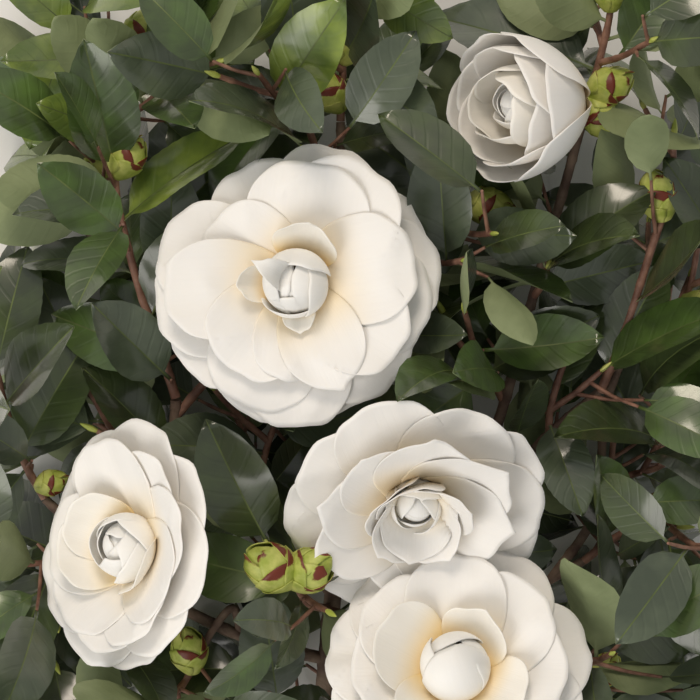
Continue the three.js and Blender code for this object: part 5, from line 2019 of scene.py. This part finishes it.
@dataclass(frozen=True)
class Petal:
    """One petal. Angles are in degrees and lengths in millimetres.

    Slopes are its slopes from the bloom's axis at its foot, its middle and its tip. Cup is the half angle of
    its cross-section at its foot and at its tip. Reach is how far out it starts, and rise how far up.
    """

    azimuth: float = 0.0
    length: float = 50.0
    width: float = 46.0
    slopes: Triple = (60, 84, 96)
    cup: tuple[float, float] = (20, 16)
    reach: float = 3.2
    rise: float = 7.0
    roll: float = 0.0
    pointed: bool = False
    wave: float = 0.45
    finish: int = 0
    look: float = 12.0

    ROWS = 24
    COLUMNS = 27
    CLAW = 0.3
    ROUNDNESS = 0.42
    SPREAD = math.pi / 2 * 0.95

    def top(self, u: Point) -> Point:
        """Where the petal ends along each column, as a share of its length.

        Args:
            u: How far across each column is, from -1 to 1.

        Returns:
            The shares.
        """
        end = 1 - self.ROUNDNESS * (1 - (1 - np.abs(u) ** 2.3) ** (1 / 2.3))
        if self.pointed:
            end = end + 0.09 * np.exp(-np.abs(u) / 0.22) - 0.06
        return end + (0.01 * np.sin(7.3 * u + self.azimuth) + 0.004 * np.sin(13.1 * u + 2.1 * self.azimuth))

    def grid(self) -> tuple[Point, Point, Point]:
        """The petal's inner face in the bloom's frame.

        Returns:
            Its vertices row by row, the way each faces inwards, and its texture places.
        """
        u = np.sin(np.linspace(-1, 1, self.COLUMNS) * self.SPREAD) / math.sin(self.SPREAD)
        t = np.linspace(0, 1, self.ROWS)[:, None]
        share = t * self.top(u)[None, :]
        # Its middle line, followed in fine steps from its foot to past its tip
        fine = np.linspace(0, 1.12, 57)
        foot, middle, tip = self.slopes
        bend = foot + (4 * middle - 3 * foot - tip) * fine + (2 * foot + 2 * tip - 4 * middle) * fine**2
        slope = np.radians(bend)
        half_way = (slope[1:] + slope[:-1]) / 2
        step = fine[1] * self.length
        out = self.reach + np.concatenate(((0,), np.cumsum(np.sin(half_way)) * step))
        along = self.rise + np.concatenate(((0,), np.cumsum(np.cos(half_way)) * step))
        r, z, a = (np.interp(share, fine, line) for line in (out, along, slope))
        # Its cross-section, a bent arc
        swell = np.sin(np.clip(share / (1 - self.ROUNDNESS), 0, 1) * math.pi / 2) ** 0.9
        aside = u[None, :] * self.width / 2 * (self.CLAW + (1 - self.CLAW) * swell)
        cup = np.radians(self.cup[0] + (self.cup[1] - self.cup[0]) * share) / (self.width / 2)
        lateral = np.sin(cup * aside) / cup
        raised = (1 - np.cos(cup * aside)) / cup
        # Its waves
        phase = math.radians(3 * self.azimuth)
        ripple = np.sin(5.2 * u[None, :] + phase) + 0.6 * np.sin(9.7 * u[None, :] - 2 * phase)
        raised = raised + self.wave * ripple * t**3
        raised = raised + 0.5 * self.wave * np.sin(8 * share + phase) * np.abs(u[None, :])
        roll = math.radians(self.roll) * share
        sideways = lateral * np.cos(roll) - raised * np.sin(roll)
        inwards = lateral * np.sin(roll) + raised * np.cos(roll)
        turn = math.radians(self.azimuth)
        radial = np.array((math.cos(turn), math.sin(turn), 0.0))
        tangent = np.array((-math.sin(turn), math.cos(turn), 0.0))
        axis = np.array((0.0, 0.0, 1.0))
        inner = -np.cos(a)[..., None] * radial + np.sin(a)[..., None] * axis
        points = r[..., None] * radial + z[..., None] * axis
        points = points + sideways[..., None] * tangent + inwards[..., None] * inner
        places = np.stack(np.broadcast_arrays(u[None, :] / 2 + 0.5, share), axis=-1)
        return points, inner, places


@dataclass(frozen=True)
class Whorl:
    """Petals of one kind, each its azimuth, its length and what differs from the pattern."""

    pattern: Petal
    petals: tuple[tuple, ...]

    def each(self) -> Iterator[Petal]:
        """The petals, from the lowest up."""
        for azimuth, length, *changes in self.petals:
            yield replace(self.pattern, azimuth=azimuth, length=length, **dict(*changes))


@dataclass(frozen=True)
class Heart:
    """The heart of a bloom: petals that wrap round a ball, each with one edge over its neighbour's.

    Each is its azimuth, the radius that it wraps at, its slope at its tip, its width and what differs.
    """

    rise: float
    petals: tuple[tuple, ...]

    FOOT = 62

    def each(self) -> Iterator[Petal]:
        """The petals, from the outside in, each following a meridian of its ball.

        Returns:
            The petals.
        """
        low = math.radians(self.FOOT)
        for azimuth, radius, tip, width, *changes in self.petals:
            wrap = math.degrees(width / 2 / radius)
            petal = Petal(
                azimuth,
                length=radius * math.radians(self.FOOT - tip),
                width=width,
                slopes=(self.FOOT, (self.FOOT + tip) / 2, tip),
                cup=(wrap, wrap),
                reach=radius * math.cos(low),
                rise=self.rise - radius * math.sin(low),
                roll=7,
                wave=0.12,
                finish=2,
                look=0,
            )
            yield replace(petal, **dict(*changes))


@dataclass(frozen=True)
class Bloom:
    """A double bloom: where its base is, the way its axis points, and its whorls from the outside in."""

    name: str
    base: Triple
    axis: Triple
    face_radius: float
    whorls: tuple[Whorl | Heart, ...]
    calyx: float = 14.0

    LAYER = 0.5
    SEPALS = 7

    def matrix(self) -> Point:
        """The bloom's directions as columns, with z along its axis and x to its topmost side."""
        axis = unit(np.array(self.axis, float))
        top = unit(np.array((0.0, 1.0, 0.0)) - axis[1] * axis)
        return np.column_stack((top, np.cross(axis, top), axis))

    def build(self) -> None:
        """Lays the petals one over the other, so that none cuts through those below it, and joins them."""
        surface = Surface()
        below: list[BVHTree] = []
        for petal in (p for whorl in self.whorls for p in whorl.each()):
            points, inner, places = petal.grid()
            for _ in range(3 if petal.look else 0):
                lifts = self.lifts(points, inner, below, petal.look)
                if lifts.max() < 0.02:
                    break
                points = points + inner * lifts[..., None]
            flat = points.reshape(-1, 3)
            below.append(BVHTree.FromPolygons(flat.tolist(), grid_faces(petal.ROWS, petal.COLUMNS)))
            self.add_petal(surface, points, places, petal.finish)
        for index in range(self.SEPALS):
            points, _, places = self.sepal(index).grid()
            self.add_petal(surface, points, places, 3)
        finishes = [OUTER_PETAL, INNER_PETAL, HEART_PETAL, BUD_SCALE]
        finish_piece(surface.piece(f"{self.name}_petals", finishes), [self.name])

    def lifts(self, points: Point, inner: Point, below: list[BVHTree], look: float) -> Point:
        """How far each vertex of a petal rises to lie over the petals that are already there.

        Args:
            points: The petal's vertices.
            inner: The way each faces inwards.
            below: The petals that are already there.
            look: How deep they may be.

        Returns:
            The lifts, smoothed over the petal.
        """
        rows, columns = points.shape[:2]
        lifts = np.zeros((rows, columns))
        for i in range(2, rows):
            for j in range(columns):
                way = Vector(inner[i, j])
                start = Vector(points[i, j]) + way * look
                for tree in below:
                    _, _, _, distance = tree.ray_cast(start, -way, look + self.LAYER)
                    if distance is not None:
                        lifts[i, j] = max(lifts[i, j], look + self.LAYER - distance)
        lifts = lifts * np.clip(np.linspace(0, 1, rows) * 5 - 0.3, 0, 1)[:, None]
        for _ in range(14):
            padded = np.pad(lifts, 1, mode="edge")
            mean = (padded[:-2, 1:-1] + padded[2:, 1:-1] + padded[1:-1, :-2] + padded[1:-1, 2:]) / 4
            lifts = np.maximum(lifts, mean)
        return lifts

    def add_petal(self, surface: Surface, points: Point, places: Point, finish: int) -> None:
        """Gives a petal its thickness, closes its rim and adds it.

        Args:
            surface: What takes it.
            points: Its inner face in the bloom's frame.
            places: Its texture places.
            finish: The number of its finish.
        """
        rows, columns = points.shape[:2]
        normal = np.cross(np.gradient(points, axis=1), np.gradient(points, axis=0))
        normal /= np.maximum(np.linalg.norm(normal, axis=-1, keepdims=True), 1e-9)
        t = np.linspace(0, 1, rows)[:, None, None]
        u = np.abs(np.linspace(-1, 1, columns))[None, :, None]
        outside = points - normal * (0.85 - 0.5 * t - 0.15 * u**4)
        both = np.vstack((points.reshape(-1, 3), outside.reshape(-1, 3)))
        both = both @ self.matrix().T + np.array(self.base, float)
        faces = grid_faces(rows, columns) + grid_faces(rows, columns, rows * columns, flipped=True)
        flat = places.reshape(-1, 2)
        surface.add(both, (faces + rim_faces(rows, columns), finish), places=np.vstack((flat, flat)))

    def sepal(self, index: int) -> Petal:
        """One scale of the calyx under the petals.

        Args:
            index: Its number.

        Returns:
            The scale.
        """
        return Petal(
            azimuth=index * 137.5,
            length=self.calyx * (0.8 + 0.04 * index),
            width=self.calyx * 0.95,
            slopes=(86, 58, 50),
            cup=(40, 46),
            reach=1.4,
            rise=-1.2 + 0.25 * index,
            wave=0.1,
        )


OUTER = Petal(width=47, slopes=(60, 84, 97), cup=(12, 18), reach=3.2, rise=6.5)
MIDDLE = Petal(width=43, slopes=(48, 72, 86), cup=(18, 22), reach=3.4, rise=8.5, look=9)
INNER = Petal(width=32, slopes=(34, 46, 60), cup=(34, 38), reach=4.5, rise=11, finish=1, look=3)

BLOOMS = (
    Bloom(
        "large_bloom",
        (-20.6, 25.5, 74),
        (-0.06, 0.05, 1),
        52,
        (
            Whorl(OUTER, (
                (198, 53), (301, 55), (122, 55), (100, 57), (22, 52), (243, 52), (277, 57), (223, 54),
                (259, 53), (165, 55), (180, 56), (343, 57), (72, 57), (156, 51),
            )),
            Whorl(MIDDLE, (
                (326, 57, {"width": 50}), (350, 50, {"width": 52}), (57, 42), (94, 54, {"width": 42}),
                (141, 43), (178, 39, {"width": 34}), (238, 51), (282, 50, {"width": 46}),
                (205, 47, {"width": 36, "pointed": True}),
            )),
            Whorl(replace(INNER, reach=7, rise=13), (
                (90, 24, {"width": 17, "slopes": (62, 44, 20), "cup": (30, 60)}),
                (186, 17, {"width": 15, "slopes": (40, 50, 60), "pointed": True}),
                (345, 30, {"width": 30, "slopes": (62, 34, 18), "cup": (36, 44), "pointed": True}),
            )),
            Heart(25, (
                (180, 14, -22, 34), (268, 13.4, -60, 34), (95, 13.2, -58, 34), (186, 11.6, -58, 28),
                (80, 11, -88, 27, {"roll": 2}), (266, 12, -92, 31, {"roll": -4}),
                (350, 14.4, -64, 35, {"roll": 3}),
                (64, 14.6, 70, 13, {"slopes": (20, -4, 96), "cup": (30, 40), "pointed": True, "length": 40}),
                (180, 10.4, -104, 31, {"roll": 0}),
            )),
        ),
    ),
    Bloom(
        "upper_bloom",
        (95, 103.5, 75),
        (-0.8, -0.13, 0.58),
        30,
        (
            Whorl(replace(OUTER, width=46, slopes=(92, 33, 2), cup=(26, 34), look=6, reach=2), (
                (330, 50), (210, 52), (150, 53), (30, 52), (90, 54), (270, 50),
            )),
            Whorl(replace(MIDDLE, width=42, slopes=(80, 25, -8), cup=(30, 40), look=5, reach=2), (
                (180, 50), (60, 49), (120, 50), (0, 50), (300, 46), (240, 45),
            )),
            Whorl(replace(INNER, width=34, slopes=(60, 14, -26), cup=(44, 56), look=0, reach=2, roll=6), (
                (20, 44), (160, 44), (95, 44), (250, 41), (320, 41),
            )),
            Heart(34, (
                (40, 10.5, -50, 26), (160, 10.2, -52, 26), (280, 10, -54, 26), (100, 8, -62, 20),
                (220, 8, -66, 20), (340, 7.6, -92, 20), (160, 6.6, -104, 19, {"roll": 0}),
            )),
        ),
        calyx=12,
    ),
    Bloom(
        "left_bloom",
        (-75.2, -82.3, 72),
        (-0.66, 0.1, 0.74),
        40,
        (
            Whorl(replace(OUTER, slopes=(52, 66, 82)), (
                (60, 46), (200, 52), (165, 52), (225, 52), (120, 50), (20, 50), (300, 54), (345, 54),
                (262, 54),
            )),
            Whorl(replace(MIDDLE, slopes=(42, 58, 66)), (
                (185, 48), (215, 48), (145, 44), (90, 42), (320, 48), (280, 50), (10, 48), (245, 46),
            )),
            Whorl(replace(INNER, slopes=(40, 34, 24), cup=(40, 44), reach=7), (
                (100, 34, {"width": 36}), (60, 33), (232, 28, {"width": 30}),
            )),
            Heart(25, (
                (230, 14.4, -34, 34), (330, 14.2, -40, 34), (110, 14, -44, 36), (20, 13.4, -52, 32),
                (265, 12.6, -56, 28, {"pointed": True}), (190, 12.4, -60, 30, {"pointed": True}),
                (80, 11.2, -60, 26), (350, 10.2, -66, 24), (230, 9.4, -74, 22), (120, 8.6, -100, 22),
                (300, 7.8, -104, 23, {"roll": 0}),
            )),
        ),
    ),
    Bloom(
        "middle_bloom",
        (26.2, -51.5, 68),
        (0.04, -0.55, 0.83),
        46,
        (
            Whorl(replace(OUTER, slopes=(56, 74, 86)), (
                (150, 56), (120, 54), (95, 54), (60, 52), (240, 54), (300, 54), (20, 54), (330, 52),
                (270, 52),
            )),
            Whorl(replace(MIDDLE, slopes=(42, 54, 64), pointed=True), (
                (180, 46), (110, 50), (75, 48), (215, 44), (35, 48), (355, 52), (310, 50), (265, 44),
            )),
            Whorl(replace(INNER, slopes=(30, 30, 34), cup=(30, 30), pointed=True, finish=0), (
                (60, 36), (20, 37), (300, 37), (130, 32), (220, 31), (170, 29),
            )),
            Heart(22, (
                (350, 11.5, -40, 27, {"pointed": True}), (110, 11.2, -42, 27), (230, 11, -46, 26),
                (300, 9.4, -56, 23), (60, 9, -58, 22), (180, 8.6, -62, 22), (0, 7.4, -96, 20),
                (180, 6.6, -104, 19, {"roll": 0}),
            )),
        ),
    ),
    Bloom(
        "lower_bloom",
        (44.4, -137, 70),
        (-0.07, 0.35, 0.93),
        46,
        (
            Whorl(replace(OUTER, slopes=(58, 80, 92)), (
                (160, 54), (200, 54), (120, 52), (240, 54), (80, 52), (40, 52), (280, 54), (330, 54),
                (10, 54),
            )),
            Whorl(replace(MIDDLE, slopes=(46, 64, 76)), (
                (180, 48), (140, 46), (225, 48), (95, 44), (265, 48), (50, 46), (310, 48), (0, 48),
            )),
            Whorl(replace(INNER, slopes=(50, 46, 50), cup=(30, 34), reach=7), (
                (70, 36, {"width": 40}), (150, 34), (240, 34),
                (328, 30, {"width": 32, "slopes": (50, 34, 16), "pointed": True}),
            )),
            Heart(24, (
                (20, 14, -62, 35), (100, 12.6, -104, 37, {"roll": 0}), (110, 14, -60, 36),
                (300, 13.8, -60, 36), (200, 14.6, -112, 42, {"roll": 2}),
            )),
        ),
    ),
)


# The studio


@dataclass(frozen=True)
class Lamp:
    """A soft panel of light: its place, what it is aimed at, its size in metres, its power and its colour."""

    name: str
    place: Triple
    aim: Triple
    size: float
    power: float
    colour: str

    def build(self) -> None:
        """Makes the light."""
        light = bpy.data.lights.new(self.name, "AREA")
        light.shape = "DISK"
        light.size = self.size
        light.energy = self.power
        light.color = linear(self.colour)[:3]
        lamp = placed(self.name, light)
        lamp.location = self.place
        way = Vector(self.aim) - Vector(self.place)
        lamp.rotation_euler = way.to_track_quat("-Z", "Y").to_euler()


@dataclass(frozen=True)
class Studio:
    """The pale floor, the soft light from the top of the view, and the camera that looks straight down."""

    height_mm: float = 1095.0
    view_mm: float = 283.5
    distance_mm: float = 1000.0
    sensor_mm: float = 36.0
    floor_m: float = 5.0
    sky: str = "#E8E8E6"
    sky_strength: float = 0.55
    lamps: tuple[Lamp, ...] = (
        Lamp("window", (-0.25, 1.1, 1.25), (0, 0.02, 0.05), 0.55, 10.0, "#FFF0DE"),
        Lamp("fill", (-0.85, -0.95, 1.1), (0, 0, 0.05), 1.2, 14.5, "#FAF5F0"),
    )

    def build(self) -> None:
        """Makes the floor, the lights and the camera."""
        half = self.floor_m / 2
        mesh = bpy.data.meshes.new("studio_floor")
        corners = [(-half, -half, 0), (half, -half, 0), (half, half, 0), (-half, half, 0)]
        mesh.from_pydata(corners, [], [(0, 1, 2, 3)])
        mesh.materials.append(STUDIO_FLOOR.material())
        placed("studio_floor", mesh)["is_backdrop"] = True
        world = bpy.data.worlds.new("studio")
        world.use_nodes = True
        feed(world.node_tree.nodes["Background"], {"Color": linear(self.sky), "Strength": self.sky_strength})
        bpy.context.scene.world = world
        for lamp in self.lamps:
            lamp.build()
        bpy.context.scene.view_settings.view_transform = "Standard"
        camera = bpy.data.cameras.new("camera")
        camera.sensor_width = self.sensor_mm
        camera.lens = self.sensor_mm * self.distance_mm / self.view_mm
        camera.clip_end = 20
        eye = placed("camera", camera)
        eye.location = (np.array((0, 0, self.height_mm)) + SET_DOWN) * MM
        bpy.context.scene.camera = eye


def main() -> None:
    """Dresses the branch, from its wood out to its petals, and works out its size beside that of the solids.
    """
    logging.basicConfig(level=logging.INFO, format="%(message)s")
    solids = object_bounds()
    Studio().build()
    growths = [Growth(spray, 101 + number) for number, spray in enumerate(SPRAYS)]
    thicket = Thicket(growths)
    thicket.grow()
    LOG.info("%d leaves, %d fine twigs", len(thicket.leaves), len(thicket.twigs))
    Woodwork(growths, thicket.twigs).build()
    growing = Growing()
    Foliage(thicket.leaves).build(growing)
    Buds(growths).build(growing)
    for bloom in BLOOMS:
        bloom.build()
    sizes = {
        title: [[float(v) for v in corner] for corner in box]
        for title, box in (("solids", solids), ("dressed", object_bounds()))
    }


if __name__ == "__main__":
    main()
